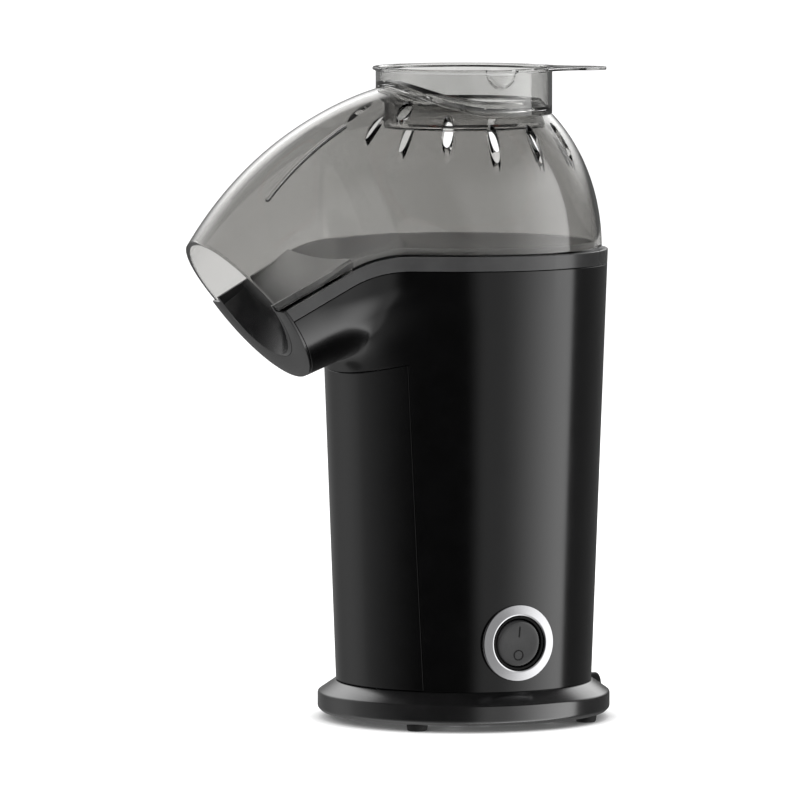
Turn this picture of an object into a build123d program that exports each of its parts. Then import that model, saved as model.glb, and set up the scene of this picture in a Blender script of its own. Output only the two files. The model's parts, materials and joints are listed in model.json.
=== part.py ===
from build123d import *
import os
from math import cos, hypot, radians, sin, sqrt, tan

# Hot-air popcorn maker, modelled in millimetres and degrees.
# Origin: on the body's axis, in the plane that the feet stand on. +Z is up.
# The spout points towards -Y and the switch towards +X. Below, "s" is the distance in front of
# the axis (s = -Y), and angles about the axis are counted from the spout towards the switch.

# ---- Body -------------------------------------------------------------------------------------
BODY_BOTTOM_Z = 17.6        # where the housing stands on the base ring
BODY_BOTTOM_R = 58.9
BODY_DRAFT = 2.11           # the body widens upwards by this angle
SHELL_WALL = 2.2
SEAM = 0.3                  # visible joint between neighbouring mouldings
RUN_GAP = 0.05              # radial clearance of shafts, pins and screws

# ---- Parting line between the body and the lid ---------------------------------------------------
PARTING_Z = 216.6           # height over the round part of the body
BEND_S = 48.0               # distance in front of the axis where the line starts to bend down
BEND_R = 58.0
SPOUT_SLOPE = 28.0
BAND_WIDTH = 6.6            # height of the light band under the parting line
BEZEL_LEDGE = 2.0           # thickness of the ledge that the lid stands on
BEZEL_SPIGOT = 5.0          # how far the bezel reaches into the housing

# ---- Spout ---------------------------------------------------------------------------------------
SPOUT_REACH = 107.8         # from the axis to the spout's face, at the parting line
SPOUT_LEAN = 36.8           # lean of the face, top forwards
SPOUT_HALF_W = 42.0
SPOUT_DEPTH = 40.8
SPOUT_TAPER = 0.045         # growth of the half-width for each mm towards the body
SPOUT_DROOP = 0.12          # growth of the depth for each mm towards the body
BLEND_R = 24.0              # hollow blend between the spout's sides and the body
CHANNEL_HALF_W = 32.0
CHANNEL_DEPTH = 28.5
FLANGE_T = 3.0
LINER_WALL = 2.0

# ---- Funnel ----------------------------------------------------------------------------------------
WEIR_S = 72.0               # the weir that the popcorn falls over
WEIR_RISE = 2.0             # the weir's crest lies this far above the parting line there
LIP_RISE = 3.5
LIP_T = 1.8
FUNNEL_FLOOR_Z = 206.4      # underside of the funnel's floor
FUNNEL_FLOOR_T = 2.2

# ---- Lid ---------------------------------------------------------------------------------------------
LID_R = 63.4
LID_WALL = 2.0
LID_GAP = 0.3
LINER_GAP = 1.4             # between the liner's lip and the inside of the lid
RIDGE_R = 158.1             # radius of the hood's ridge, seen from the side
RIDGE_TOP_Z = 296.5
HOOD_LEAN = 41.5
HOOD_HALF_W = 37.0
HOOD_TAPER = 0.11
LID_HOLE_R = 37.1
SLOT_PITCH = 24.6
SLOT_COUNT = 13
SLOT_W = 5.0
SLOT_R_IN = 43.5
SLOT_R_OUT = 54.5

# ---- Measuring cup -------------------------------------------------------------------------------------
CUP_TOP_Z = 300.0
CUP_R = 40.55
CUP_PLUG_R = 36.6
CUP_BOTTOM_Z = 271.6
CUP_WALL = 1.7
CUP_FLANGE_R = 42.0
CUP_FLANGE_T = 1.5
CUP_GAP = 0.25
HANDLE_ANGLE = 157.0
HANDLE_REACH = 65.5
HANDLE_TIP_R = 13.5
HANDLE_ROOT_HALF_W = 30.0
LIP_ANGLE = 91.0
LIP_HALF_W = 6.8
LIP_DEPTH = 9.5

# ---- Base ------------------------------------------------------------------------------------------------
FOOT_H = 3.2
BASE_R = 67.4
BASE_BAND_LOW_Z = 5.0
BASE_BAND_TOP_Z = 12.2
BASE_WALL = 2.5
BASE_TOP_R = 59.3
FOOT_R = 5.0
FOOT_CIRCLE_R = 60.0
FOOT_STEM_R = 1.9
COVER_R = 53.6
COVER_T = 2.1
VENT_COUNT = 18
VENT_W = 3.2
VENT_R_IN = 15.0
VENT_R_OUT = 39.0

# ---- Front cover --------------------------------------------------------------------------------------------
FRONT_HALF_W = 43.5
FRONT_TOP_Z = 161.5
FRONT_CORNER_Z = 167.0
LEDGE_W = 4.0

# ---- Screw columns --------------------------------------------------------------------------------------------
COLUMN_ANGLES = (60.0, 120.0, 240.0, 300.0)
COLUMN_CIRCLE_R = 50.0
COLUMN_R = 4.2
COLUMN_TOP_Z = 61.7
SCREW_R = 1.45
SCREW_HEAD_R = 3.2
SCREW_HEAD_H = 2.0

# ---- Fan, motor and heater ------------------------------------------------------------------------------------
DUCT_R = 44.5
DUCT_WALL = 2.0
DUCT_LOW_Z = 62.0
DUCT_TOP_Z = 100.0
MOTOR_R = 17.9
MOTOR_LOW_Z = 17.0
SHAFT_R = 1.5
SHAFT_TOP_Z = 90.0
FAN_HUB_R = 7.0
FAN_LOW_Z = 70.0
FAN_H = 15.0
FAN_R = 42.3
BLADE_COUNT = 6
BLADE_T = 1.2
JACKET_R = 46.0
JACKET_T = 1.0
CHAMBER_R = 39.2
CHAMBER_T = 1.0
CHAMBER_LOW_Z = 140.0
CHAMBER_FLANGE_R = 46.8
LOUVRE_COUNT = 18
GASKET_T = 2.0
MICA_LOW_Z = 106.0
MICA_H = 28.0
MICA_T = 1.0
COIL_WIRE_R = 0.8
COIL_HALF = 35.0
COIL_TURNS = 5
COIL_PITCH = 4.0

# ---- Switch and cord gland ----------------------------------------------------------------------------------------
SWITCH_Z = 40.0
SWITCH_PROUD = 1.9          # the ring's face in front of the body's surface
SWITCH_RING_R = 17.65
SWITCH_RING_T = 4.2
SWITCH_BORE_R = 12.45
BARREL_R = 12.2
BARREL_LENGTH = 22.0
CAVITY_R = 11.3
ROCKER_R = 10.7
ROCKER_TILT = 6.0
TRUNNION_R = 1.4
GLAND_Z = 12.2
GLAND_R = 5.2
GLAND_BORE_R = 3.4
GLAND_TIP = 68.0
GLAND_LENGTH = 17.4

# ---- Values worked out from the sizes above ------------------------------------------------------------------------
FAR = 160.0                 # reach of cutting tools past the object
SIDE = Plane(origin=(0, 0, 0), x_dir=(0, -1, 0), z_dir=(-1, 0, 0))
LOW = (Align.CENTER, Align.CENTER, Align.MIN)
bend_end_s = BEND_S + BEND_R * sin(radians(SPOUT_SLOPE))
bend_end_z = PARTING_Z - BEND_R * (1 - cos(radians(SPOUT_SLOPE)))
spout_z = bend_end_z - (SPOUT_REACH - bend_end_s) * tan(radians(SPOUT_SLOPE))
lid_height = RIDGE_TOP_Z - PARTING_Z
fan_pivot_z = spout_z - SPOUT_REACH / tan(radians(HOOD_LEAN))
funnel_top_z = FUNNEL_FLOOR_Z + FUNNEL_FLOOR_T
foot_angles = {"front_right": 45.0, "rear_right": 135.0, "rear_left": 225.0, "front_left": 315.0}


def body_r(z):
    """Radius of the body's outer surface at height z."""
    return BODY_BOTTOM_R + (z - BODY_BOTTOM_Z) * tan(radians(BODY_DRAFT))


def polar(radius, angle, z=0.0):
    """Point at an angle counted from the spout towards the switch."""
    return (radius * sin(radians(angle)), -radius * cos(radians(angle)), z)


def post(radius, low, high, x=0.0, y=0.0):
    """Upright cylinder between two heights."""
    return Pos(x, y, low) * Cylinder(radius, high - low, align=LOW)


def tube(outer, inner, low, high):
    """Upright tube between two heights."""
    return post(outer, low, high) - post(inner, low - 1, high + 1)


def rod(start, direction, radius, length):
    """Cylinder from a point along a direction."""
    return Plane(origin=start, z_dir=direction) * Cylinder(radius, length, align=LOW)


def long_octagon(length, width):
    """Slot outline with bevelled ends."""
    x, y, bevel = length / 2, width / 2, 0.3 * width
    points = [(x, y - bevel), (x - bevel, y), (bevel - x, y), (-x, y - bevel)]
    return make_face(Polyline(points + [(-a, -b) for a, b in points], close=True))


def turned(points):
    """Solid of revolution about Z from a closed outline of (radius, height) points."""
    return revolve(Plane.XZ * make_face(Polyline(points, close=True)), Axis.Z)


def under_parting(drop):
    """Everything under the parting surface, moved down square to itself by drop."""
    slope = radians(SPOUT_SLOPE)
    radius = BEND_R - drop
    centre_z = PARTING_Z - BEND_R
    start = (BEND_S, PARTING_Z - drop)
    middle = (BEND_S + radius * sin(slope / 2), centre_z + radius * cos(slope / 2))
    end = (BEND_S + radius * sin(slope), centre_z + radius * cos(slope))
    tip = (end[0] + FAR * cos(slope), end[1] - FAR * sin(slope))
    outline = Line((-FAR, PARTING_Z - drop), start) + ThreePointArc(start, middle, end)
    outline += Polyline(end, tip, (tip[0], -FAR), (-FAR, -FAR), (-FAR, PARTING_Z - drop))
    return extrude(SIDE * make_face(outline), FAR, both=True)


def slab(upper, lower):
    """Layer between the parting surface moved down by upper and by lower."""
    return under_parting(upper) - under_parting(lower)


def spout_plane(back):
    """Plane parallel to the spout's face, back mm behind it along the spout."""
    lean = radians(SPOUT_LEAN)
    s = SPOUT_REACH - back * cos(radians(SPOUT_SLOPE))
    z = spout_z + back * sin(radians(SPOUT_SLOPE))
    return Plane(origin=(0, -s, z), x_dir=(1, 0, 0), z_dir=(0, -cos(lean), -sin(lean)))


def spout_half_w(back):
    return SPOUT_HALF_W + SPOUT_TAPER * back


def u_face(half_w, depth, top):
    """U section of a trough: upright sides and a round bottom."""
    side = 0.05 * depth
    walls = Polyline((-half_w, -side), (-half_w, top), (half_w, top), (half_w, -side))
    return make_face(walls + ThreePointArc((half_w, -side), (0, -depth), (-half_w, -side)))


def body_cone(inset):
    """Conical body without the spout, from under the housing to above the lid's rim."""
    low = BODY_BOTTOM_Z - 6
    high = RIDGE_TOP_Z - 35
    cone = Cone(body_r(low) - inset, body_r(high) - inset, high - low, align=LOW)
    return Pos(0, 0, low) * cone


def body_form(inset, front=0.0):
    """Body with its spout, moved inwards by inset. The spout ends front mm behind its face."""
    back = 0.8 * SPOUT_REACH
    top = 48
    sections = []
    for distance, depth in ((front, SPOUT_DEPTH + 20), (back, SPOUT_DEPTH + 40)):
        half_w = spout_half_w(distance) - inset
        outline = Polyline((-half_w, -depth), (-half_w, top), (half_w, top), (half_w, -depth), close=True)
        sections.append(spout_plane(distance) * make_face(outline))
    form = body_cone(inset) + loft(sections, ruled=True)
    corners = []
    for edge in form.edges():
        point = edge.position_at(0.5)
        on_cone = abs(hypot(point.X, point.Y) - body_r(point.Z) + inset) < 0.01
        if on_cone and abs(point.X) > 0.8 * spout_half_w(back) and edge.length > SPOUT_DEPTH:
            if edge.geom_type not in (GeomType.LINE, GeomType.CIRCLE):
                corners.append(edge)
    form = fillet(corners, BLEND_R + inset)
    below = Pos(0, -SPOUT_REACH, spout_z) * Box(2 * FAR, 2 * SPOUT_REACH, FAR)
    return form - (below - trough(inset) - body_cone(inset))


def trough(inset):
    """Space whose lower side is the spout's underside. It widens into the body's blends."""
    sections = []
    for back, wider in ((-12.0, 0.0), (12.0, 0.0), (34.0, 5.0), (60.0, 22.0)):
        depth = SPOUT_DEPTH + SPOUT_DROOP * back - inset
        sections.append(spout_plane(back) * u_face(spout_half_w(back) - inset + wider, depth, 95))
    return loft(sections)


def parting_z(s):
    """Height of the parting line at distance s in front of the axis."""
    if s <= BEND_S:
        return PARTING_Z
    if s <= bend_end_s:
        return PARTING_Z - BEND_R + sqrt(BEND_R**2 - (s - BEND_S) ** 2)
    return bend_end_z - (s - bend_end_s) * tan(radians(SPOUT_SLOPE))


def lid_half_w(s):
    """Half-width of the lid at its rim: a round body that runs into the hood's straight sides."""
    round_part = sqrt(max(LID_R**2 - s**2, 0.0))
    straight_part = HOOD_HALF_W + HOOD_TAPER * (SPOUT_REACH - s)
    return (round_part**16 + straight_part**16) ** (1 / 16)


def rim_prism(inset):
    """Upright prism of the lid's outline at its rim, moved inwards by inset."""
    radius = LID_R - inset
    straight_s = LID_R + 4
    end_s = 1.4 * SPOUT_REACH
    steps = [straight_s * step / 9 for step in range(10)]
    right = [(lid_half_w(s) - inset, -s) for s in steps]
    right[0] = (radius, 0)
    left = [(-x, y) for x, y in reversed(right)]
    end_w = HOOD_HALF_W + HOOD_TAPER * (SPOUT_REACH - end_s) - inset
    outline = Spline(*right, tangents=((0, -1), (-HOOD_TAPER, -1)))
    outline += Polyline(right[-1], (end_w, -end_s), (-end_w, -end_s), left[0])
    outline += Spline(*left, tangents=((-HOOD_TAPER, 1), (0, 1)))
    outline += ThreePointArc((-radius, 0), (0, radius), (radius, 0))
    return extrude(make_face(outline), 2 * FAR)


def hood_section(tilt, inset, skirt):
    """Half-elliptical section of the lid in a plane tilted forwards about a line under the lid."""
    turn = radians(tilt)
    s = 0.0
    for _ in range(40):
        s = tan(turn) * (parting_z(s) - fan_pivot_z)
    base = hypot(s, parting_z(s) - fan_pivot_z)
    rise = RIDGE_TOP_Z - RIDGE_R - fan_pivot_z
    ridge = rise * cos(turn) + sqrt((RIDGE_R - inset) ** 2 - (rise * sin(turn)) ** 2)
    half_w = (LID_R if tilt == 0 else lid_half_w(s)) - inset
    plane = Plane(origin=(0, -s, parting_z(s)), x_dir=(1, 0, 0), z_dir=(0, -cos(turn), -sin(turn)))
    arc = EllipticalCenterArc((0, 0), half_w, ridge - base, start_angle=0, arc_size=180)
    sides = Polyline((-half_w, 0), (-half_w, -skirt), (half_w, -skirt), (half_w, 0))
    return plane * make_face(arc + sides)


def lid_form(inset):
    """Lid as a full body: half a turned dome behind the axis and the lofted hood in front of it.
    It is moved inwards by inset, reaches under its rim and past the hood's mouth."""
    skirt = 12.0
    tilts = [HOOD_LEAN * share for share in (0.0, 0.08, 0.22, 0.4, 0.6, 0.8, 1.0, 1.2)]
    hood = loft([hood_section(tilt, inset, skirt) for tilt in tilts])
    arc = EllipticalCenterArc((0, PARTING_Z), LID_R - inset, lid_height - inset, start_angle=0, arc_size=90)
    rim = Polyline((0, RIDGE_TOP_Z - inset), (0, PARTING_Z - skirt), (LID_R - inset, PARTING_Z - skirt),
                   (LID_R - inset, PARTING_Z))
    dome = revolve(Plane.XZ * make_face(arc + rim), Axis.Z, 180)
    if dome.center().Y < 0:
        dome = Rot(0, 0, 180) * dome
    return dome + hood


def channel(outset, forward=0.0):
    """Ramp space from the weir down to the spout's mouth, made larger by outset."""
    mouth = u_face(CHANNEL_HALF_W + outset, CHANNEL_DEPTH + outset, 60)
    half_w = lid_half_w(WEIR_S) - LID_WALL - LINER_GAP - LINER_WALL + outset
    low = parting_z(WEIR_S) + WEIR_RISE - outset
    crest = Plane(origin=(0, -WEIR_S, 0), x_dir=(1, 0, 0), z_dir=(0, -1, 0))
    sag = 0.8
    top = PARTING_Z + 45
    walls = Polyline((-half_w, low + sag), (-half_w, top), (half_w, top), (half_w, low + sag))
    start = make_face(walls + ThreePointArc((half_w, low + sag), (0, low), (-half_w, low + sag)))
    ramp = loft([crest * start, spout_plane(0) * mouth], ruled=True)
    if forward:
        ramp += loft([spout_plane(0) * mouth, spout_plane(-forward) * mouth], ruled=True)
    return ramp


def front_zone(gap):
    """Region of the front cover: straight sides and a top edge that rises at its corners."""
    half_w = FRONT_HALF_W + gap
    top = ThreePointArc((-half_w, FRONT_CORNER_Z + gap), (0, FRONT_TOP_Z + gap), (half_w, FRONT_CORNER_Z + gap))
    sides = Polyline((half_w, FRONT_CORNER_Z + gap), (half_w, 0), (-half_w, 0), (-half_w, FRONT_CORNER_Z + gap))
    return extrude(Plane.XZ * make_face(top + sides), FAR)


def above(z):
    """Everything above a height."""
    return Pos(0, 0, z) * Box(2 * FAR, 2 * FAR, 2 * FAR, align=LOW)


def make_housing():
    """Body shell with the spout's skin, the opening for the front cover, columns and switch seat."""
    shell = (outer_form - inner_form) & under_parting(BAND_WIDTH + SEAM) & above(BODY_BOTTOM_Z)
    shell -= (body_cone(-0.5) - body_cone(SHELL_WALL + 0.5)) & front_zone(SEAM)
    ledge = body_cone(SHELL_WALL + SEAM) - body_cone(SHELL_WALL + SEAM + 1.6)
    ledge &= above(BODY_BOTTOM_Z + 4) & front_zone(LEDGE_W)
    ledge -= front_zone(-LEDGE_W)
    bridge = body_cone(SHELL_WALL - 0.4) - body_cone(SHELL_WALL + SEAM + 0.5)
    bridge &= above(BODY_BOTTOM_Z + 4) & front_zone(LEDGE_W)
    bridge -= front_zone(SEAM)
    shell += ledge + bridge
    for angle in COLUMN_ANGLES:
        x, y, _ = polar(COLUMN_CIRCLE_R, angle)
        column = post(COLUMN_R, column_low_z, COLUMN_TOP_Z, x, y)
        reach = (body_r(column_low_z) + body_r(COLUMN_TOP_Z) - SHELL_WALL) / 2 - COLUMN_CIRCLE_R
        rib = Box(2.4, reach, COLUMN_TOP_Z - column_low_z, align=(Align.CENTER, Align.MAX, Align.MIN))
        shell += column + Rot(0, 0, angle) * Pos(0, -COLUMN_CIRCLE_R, column_low_z) * rib
    for angle in COLUMN_ANGLES:
        x, y, _ = polar(COLUMN_CIRCLE_R, angle)
        shell -= post(SCREW_R + RUN_GAP, column_low_z - 1, COLUMN_TOP_Z + 1, x, y)
    seat_x = switch_face_x - SWITCH_RING_T
    shell += rod((seat_x - 2.2, 0, SWITCH_Z), (1, 0, 0), SWITCH_RING_R + 1.5, 2.4)
    shell -= rod((seat_x, 0, SWITCH_Z), (1, 0, 0), SWITCH_RING_R + SEAM, 20)
    return shell - rod((seat_x - 20, 0, SWITCH_Z), (1, 0, 0), BARREL_R + 0.2, 40)


def make_front_cover():
    """Panel under the spout, flush with the body, with two stiffening ribs inside."""
    wall = body_cone(0.0) - body_cone(SHELL_WALL)
    panel = wall & front_zone(0.0) & above(BODY_BOTTOM_Z + SEAM)
    ribs = body_cone(SHELL_WALL - 0.4) - body_cone(SHELL_WALL + 2.5)
    for x in (-FRONT_HALF_W / 2, FRONT_HALF_W / 2):
        strip = Pos(x, -FAR / 2, BODY_BOTTOM_Z + 10)
        height = FRONT_TOP_Z - BODY_BOTTOM_Z - 24
        panel += ribs & (strip * Box(2.0, FAR, height, align=LOW))
    return panel


def make_top_bezel():
    """Light band along the parting line, with the ledge under the lid and a spigot in the housing."""
    band = outer_form - inner_form
    band &= slab(0.0, BAND_WIDTH)
    pan_hole = rim_prism(LID_WALL + LINER_GAP - 0.3)
    ledge = (outer_form - pan_hole) & slab(0.0, BEZEL_LEDGE)
    spigot_inside = body_form(SHELL_WALL + SEAM + 1.0, -6.0)
    upper = (body_form(SHELL_WALL - 0.4, ring_front + 4) - spigot_inside) & slab(BEZEL_LEDGE / 2, BAND_WIDTH - 1)
    lower = body_form(SHELL_WALL + SEAM, ring_front + 4) - spigot_inside
    lower &= slab(BAND_WIDTH - 2, BAND_WIDTH + BEZEL_SPIGOT)
    return band + ledge + (upper - pan_hole) + (lower - pan_hole)


def behind(s):
    """Everything further back than distance s in front of the axis."""
    return Pos(0, -s, 0) * Box(2 * FAR, 2 * FAR, 4 * FAR, align=(Align.CENTER, Align.MIN, Align.CENTER))


def make_chute_liner():
    """Funnel rim with its floor, the weir, the ramp and the spout's U-shaped front flange."""
    inside = rim_prism(LID_WALL + LINER_GAP + LIP_T)
    pan = rim_prism(LID_WALL + LINER_GAP) & under_parting(-LIP_RISE) & above(FUNNEL_FLOOR_Z) & behind(WEIR_S)
    pan -= inside & above(funnel_top_z) & behind(WEIR_S - LINER_WALL)
    pan -= inside & above(parting_z(WEIR_S) + WEIR_RISE)
    pan -= post(CHAMBER_R - CHAMBER_T, FUNNEL_FLOOR_Z - 1, funnel_top_z + 1)
    ramp = (channel(LINER_WALL) - channel(0.0, 5.0)) & under_parting(-LIP_RISE)
    sections = [spout_plane(back) * u_face(spout_half_w(back), SPOUT_DEPTH + SPOUT_DROOP * back, 40)
                for back in (0.0, FLANGE_T)]
    flange = (loft(sections, ruled=True) & under_parting(0.0)) - channel(0.0, 5.0)
    return pan + ramp + flange


def make_lid():
    """Clear dome and hood, cut off by the mouth's plane, with the cup's hole and steam slots."""
    lean = radians(HOOD_LEAN)
    mouth = Plane(origin=(0, -SPOUT_REACH, spout_z), x_dir=(1, 0, 0), z_dir=(0, -cos(lean), -sin(lean)))
    solid = lid_form(0.0) - lid_form(LID_WALL) - under_parting(-LID_GAP)
    solid -= mouth * Box(FAR, FAR, FAR, align=LOW)
    solid -= post(LID_HOLE_R, RIDGE_TOP_Z - 40, RIDGE_TOP_Z + 10)
    for step in range(SLOT_COUNT):
        angle = 180 + SLOT_PITCH * (step - (SLOT_COUNT - 1) / 2)
        x, y, _ = polar((SLOT_R_IN + SLOT_R_OUT) / 2, angle)
        slot = long_octagon(SLOT_R_OUT - SLOT_R_IN, SLOT_W)
        solid -= extrude(Pos(x, y, PARTING_Z + 25) * Rot(0, 0, angle - 90) * slot, RIDGE_TOP_Z - PARTING_Z)
    return solid


def make_measuring_cup():
    """Clear cup: its shoulder follows the lid's surface, its plug fills the lid's hole."""
    over = lid_form(-CUP_GAP)
    outside = post(CUP_R, CUP_BOTTOM_Z, CUP_TOP_Z) - over
    outside += post(CUP_PLUG_R, CUP_BOTTOM_Z, CUP_TOP_Z)
    inside = post(CUP_R - CUP_WALL, CUP_BOTTOM_Z, CUP_TOP_Z + 1) - lid_form(-CUP_GAP - CUP_WALL)
    inside += post(CUP_PLUG_R - CUP_WALL, CUP_BOTTOM_Z + CUP_WALL, CUP_TOP_Z + 1)
    flange_z = CUP_TOP_Z - CUP_FLANGE_T
    lip_x, lip_y, _ = polar(CUP_R - CUP_WALL - 1.5, LIP_ANGLE)
    spout = Pos(lip_x, lip_y, CUP_TOP_Z - LIP_DEPTH) * Cone(1.5, LIP_HALF_W, LIP_DEPTH, align=LOW)
    spout_inside = Pos(lip_x, lip_y, CUP_TOP_Z - LIP_DEPTH + CUP_WALL) * Cone(
        0.6, LIP_HALF_W - CUP_WALL + 0.4, LIP_DEPTH, align=LOW)
    tip_s = HANDLE_REACH - HANDLE_TIP_R
    side = HANDLE_TIP_R * 0.94
    root = sqrt(CUP_R**2 - HANDLE_ROOT_HALF_W**2)
    outline = Polyline((-side, -tip_s), (-HANDLE_ROOT_HALF_W, -root), (HANDLE_ROOT_HALF_W, -root), (side, -tip_s))
    outline += ThreePointArc((side, -tip_s), (0, -HANDLE_REACH), (-side, -tip_s))
    handle = extrude(Pos(0, 0, flange_z) * make_face(outline), CUP_FLANGE_T)
    solid = outside + post(CUP_FLANGE_R, flange_z, CUP_TOP_Z) + spout + Rot(0, 0, HANDLE_ANGLE) * handle
    return solid - inside - spout_inside


def make_base_ring():
    """Foot ring: chamfered skirt, step for the bottom cover, spigot for the housing, gland boss."""
    floor = FOOT_H + 2.4
    step = cover_step_z
    inner = BASE_R - BASE_WALL
    spigot = body_r(BODY_BOTTOM_Z) - SHELL_WALL - SEAM - 0.2
    ring = turned([
        (COVER_R + SEAM, FOOT_H), (BASE_R - 1.8, FOOT_H), (BASE_R, BASE_BAND_LOW_Z), (BASE_R, BASE_BAND_TOP_Z),
        (BASE_TOP_R, BODY_BOTTOM_Z), (spigot, BODY_BOTTOM_Z), (spigot, BODY_BOTTOM_Z + 3.0),
        (spigot - 1.8, BODY_BOTTOM_Z + 3.0), (spigot - 1.8, BODY_BOTTOM_Z - 2.2),
        (BASE_TOP_R - 1.0, BODY_BOTTOM_Z - 2.4), (inner, BASE_BAND_TOP_Z - 1.3), (inner, floor),
        (COVER_R + 2.7, floor), (COVER_R + 2.7, step + 2.4), (COVER_R - 7.1, step + 2.4),
        (COVER_R - 7.1, step), (COVER_R + SEAM, step)])
    for angle in COLUMN_ANGLES:
        x, y, _ = polar(COLUMN_CIRCLE_R, angle)
        ring += post(COLUMN_R - 0.2, step + 1, column_low_z - SEAM, x, y)
    gland_in = GLAND_TIP - GLAND_LENGTH + 3.4
    boss = Pos(0, gland_in, floor - 0.5) * Box(18, inner - gland_in, BASE_BAND_TOP_Z - floor + 3, align=(
        Align.CENTER, Align.MIN, Align.MIN))
    ring += boss & post(BASE_R - 1, 0, BODY_BOTTOM_Z)
    for angle in COLUMN_ANGLES:
        x, y, _ = polar(COLUMN_CIRCLE_R, angle)
        ring -= post(SCREW_R + 0.4, step - 1, column_low_z, x, y)
    for angle in foot_angles.values():
        x, y, _ = polar(FOOT_CIRCLE_R, angle)
        ring -= post(FOOT_STEM_R + RUN_GAP, FOOT_H - 1, floor + 1, x, y)
    ring -= Pos(0, gland_in, GLAND_Z) * Box(2 * GLAND_R + 4, 12, 2 * GLAND_R + 4, align=(
        Align.CENTER, Align.MAX, Align.CENTER)) & above(cover_step_z - 1)
    return ring - rod((0, gland_in - 5, GLAND_Z), (0, 1, 0), GLAND_R + RUN_GAP, 40)


def make_foot(angle):
    """Rubber foot with a stem that is pressed into the base ring."""
    x, y, _ = polar(FOOT_CIRCLE_R, angle)
    pad = Pos(x, y, 0) * Cone(FOOT_R - 0.5, FOOT_R, FOOT_H, align=LOW)
    return pad + post(FOOT_STEM_R, FOOT_H - 1, FOOT_H + 4.5, x, y)


def make_bottom_cover():
    """Round cover with radial air slots, four screw cups and a raised rim."""
    cover = post(COVER_R, FOOT_H, FOOT_H + COVER_T)
    cup_top = cover_step_z - 0.2
    for angle in COLUMN_ANGLES:
        x, y, _ = polar(COLUMN_CIRCLE_R, angle)
        cover += post(SCREW_HEAD_R + 1.4, FOOT_H, cup_top, x, y) & post(COVER_R, 0, cup_top)
        cover -= post(SCREW_HEAD_R + 0.3, FOOT_H - 1, cup_top - 1.8, x, y)
        cover -= post(SCREW_R + 0.4, FOOT_H, cup_top + 1, x, y)
    length = VENT_R_OUT - VENT_R_IN
    for step in range(VENT_COUNT):
        angle = 360 * step / VENT_COUNT
        x, y, _ = polar((VENT_R_IN + VENT_R_OUT) / 2, angle)
        slot = Pos(x, y, FOOT_H - 1) * Rot(0, 0, angle - 90) * Rectangle(length, VENT_W)
        cover -= extrude(slot, COVER_T + 2)
    return cover


def make_fan_housing():
    """Duct with a flange on top, four ears on the screw columns and a spider with the motor's cup."""
    duct = tube(DUCT_R + DUCT_WALL, DUCT_R, DUCT_LOW_Z, DUCT_TOP_Z)
    duct += tube(flange_r, DUCT_R, DUCT_TOP_Z - 2.5, DUCT_TOP_Z)
    hub_top = DUCT_LOW_Z + 2.5
    for angle in COLUMN_ANGLES:
        ear = Box(9, COLUMN_CIRCLE_R + COLUMN_R - DUCT_R - 0.5, 3.5, align=(Align.CENTER, Align.MAX, Align.MIN))
        duct += Rot(0, 0, angle) * Pos(0, -DUCT_R - 0.5, DUCT_LOW_Z) * ear
        spoke = Box(6, DUCT_R - MOTOR_R + 1.5, 4, align=(Align.CENTER, Align.MAX, Align.MIN))
        duct += Rot(0, 0, angle) * Pos(0, -MOTOR_R - 0.5, DUCT_LOW_Z) * spoke
    duct += post(MOTOR_R + 2, DUCT_LOW_Z - 12, hub_top)
    duct -= post(MOTOR_R + 0.1, DUCT_LOW_Z - 13, DUCT_LOW_Z)
    duct -= post(motor_boss_r + 0.3, DUCT_LOW_Z - 1, hub_top + 1)
    for angle in COLUMN_ANGLES:
        x, y, _ = polar(COLUMN_CIRCLE_R, angle)
        duct -= post(SCREW_R + 0.3, DUCT_LOW_Z - 1, DUCT_LOW_Z + 6, x, y)
    for x in (-motor_screw_x, motor_screw_x):
        duct -= post(SCREW_R + 0.2, DUCT_LOW_Z - 1, hub_top + 1, x, 0)
    return duct


def make_motor_body():
    """Direct-current motor: can with a bearing boss and two threaded holes in its top face."""
    can = post(MOTOR_R, MOTOR_LOW_Z, DUCT_LOW_Z - 0.2)
    can += post(motor_boss_r, DUCT_LOW_Z - 1, DUCT_LOW_Z + 3.5)
    can = can - post(SHAFT_R + RUN_GAP, shaft_low_z - 1, DUCT_LOW_Z + 5)
    for x in (-motor_screw_x, motor_screw_x):
        can -= post(SCREW_R + RUN_GAP, DUCT_LOW_Z - 7, DUCT_LOW_Z, x, 0)
    return can


def make_fan_impeller():
    """Axial fan: hub on the shaft and blades that flatten towards their tips."""
    hub = post(FAN_HUB_R, FAN_LOW_Z, FAN_LOW_Z + FAN_H)
    middle = FAN_LOW_Z + FAN_H / 2
    for step in range(BLADE_COUNT):
        sections = []
        for radius, chord, pitch in ((FAN_HUB_R - 1.5, 10.0, 50.0), (FAN_R * 0.55, 19.0, 36.0), (FAN_R - 1.2, 26.0, 26.0)):
            plane = Plane(origin=(0, -radius, middle), x_dir=(1, 0, 0), z_dir=(0, -1, 0))
            sections.append(plane * Rot(0, 0, pitch) * Rectangle(chord, BLADE_T))
        hub += Rot(0, 0, 360 * step / BLADE_COUNT) * loft(sections)
    hub &= post(FAN_R, FAN_LOW_Z - 5, FAN_LOW_Z + FAN_H + 5)
    return hub - post(SHAFT_R + 0.02, FAN_LOW_Z - 1, FAN_LOW_Z + FAN_H + 1)


def make_heat_jacket():
    """Sheet-metal jacket: foot flange on the duct and a straight wall up to the chamber's flange."""
    low = DUCT_TOP_Z + 0.2
    top = chamber_top_z - CHAMBER_T - 0.1
    return turned([
        (JACKET_R - JACKET_T, low), (flange_r - 0.2, low), (flange_r - 0.2, low + 1), (JACKET_R, low + 1),
        (JACKET_R, top), (JACKET_R - JACKET_T, top)])


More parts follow.
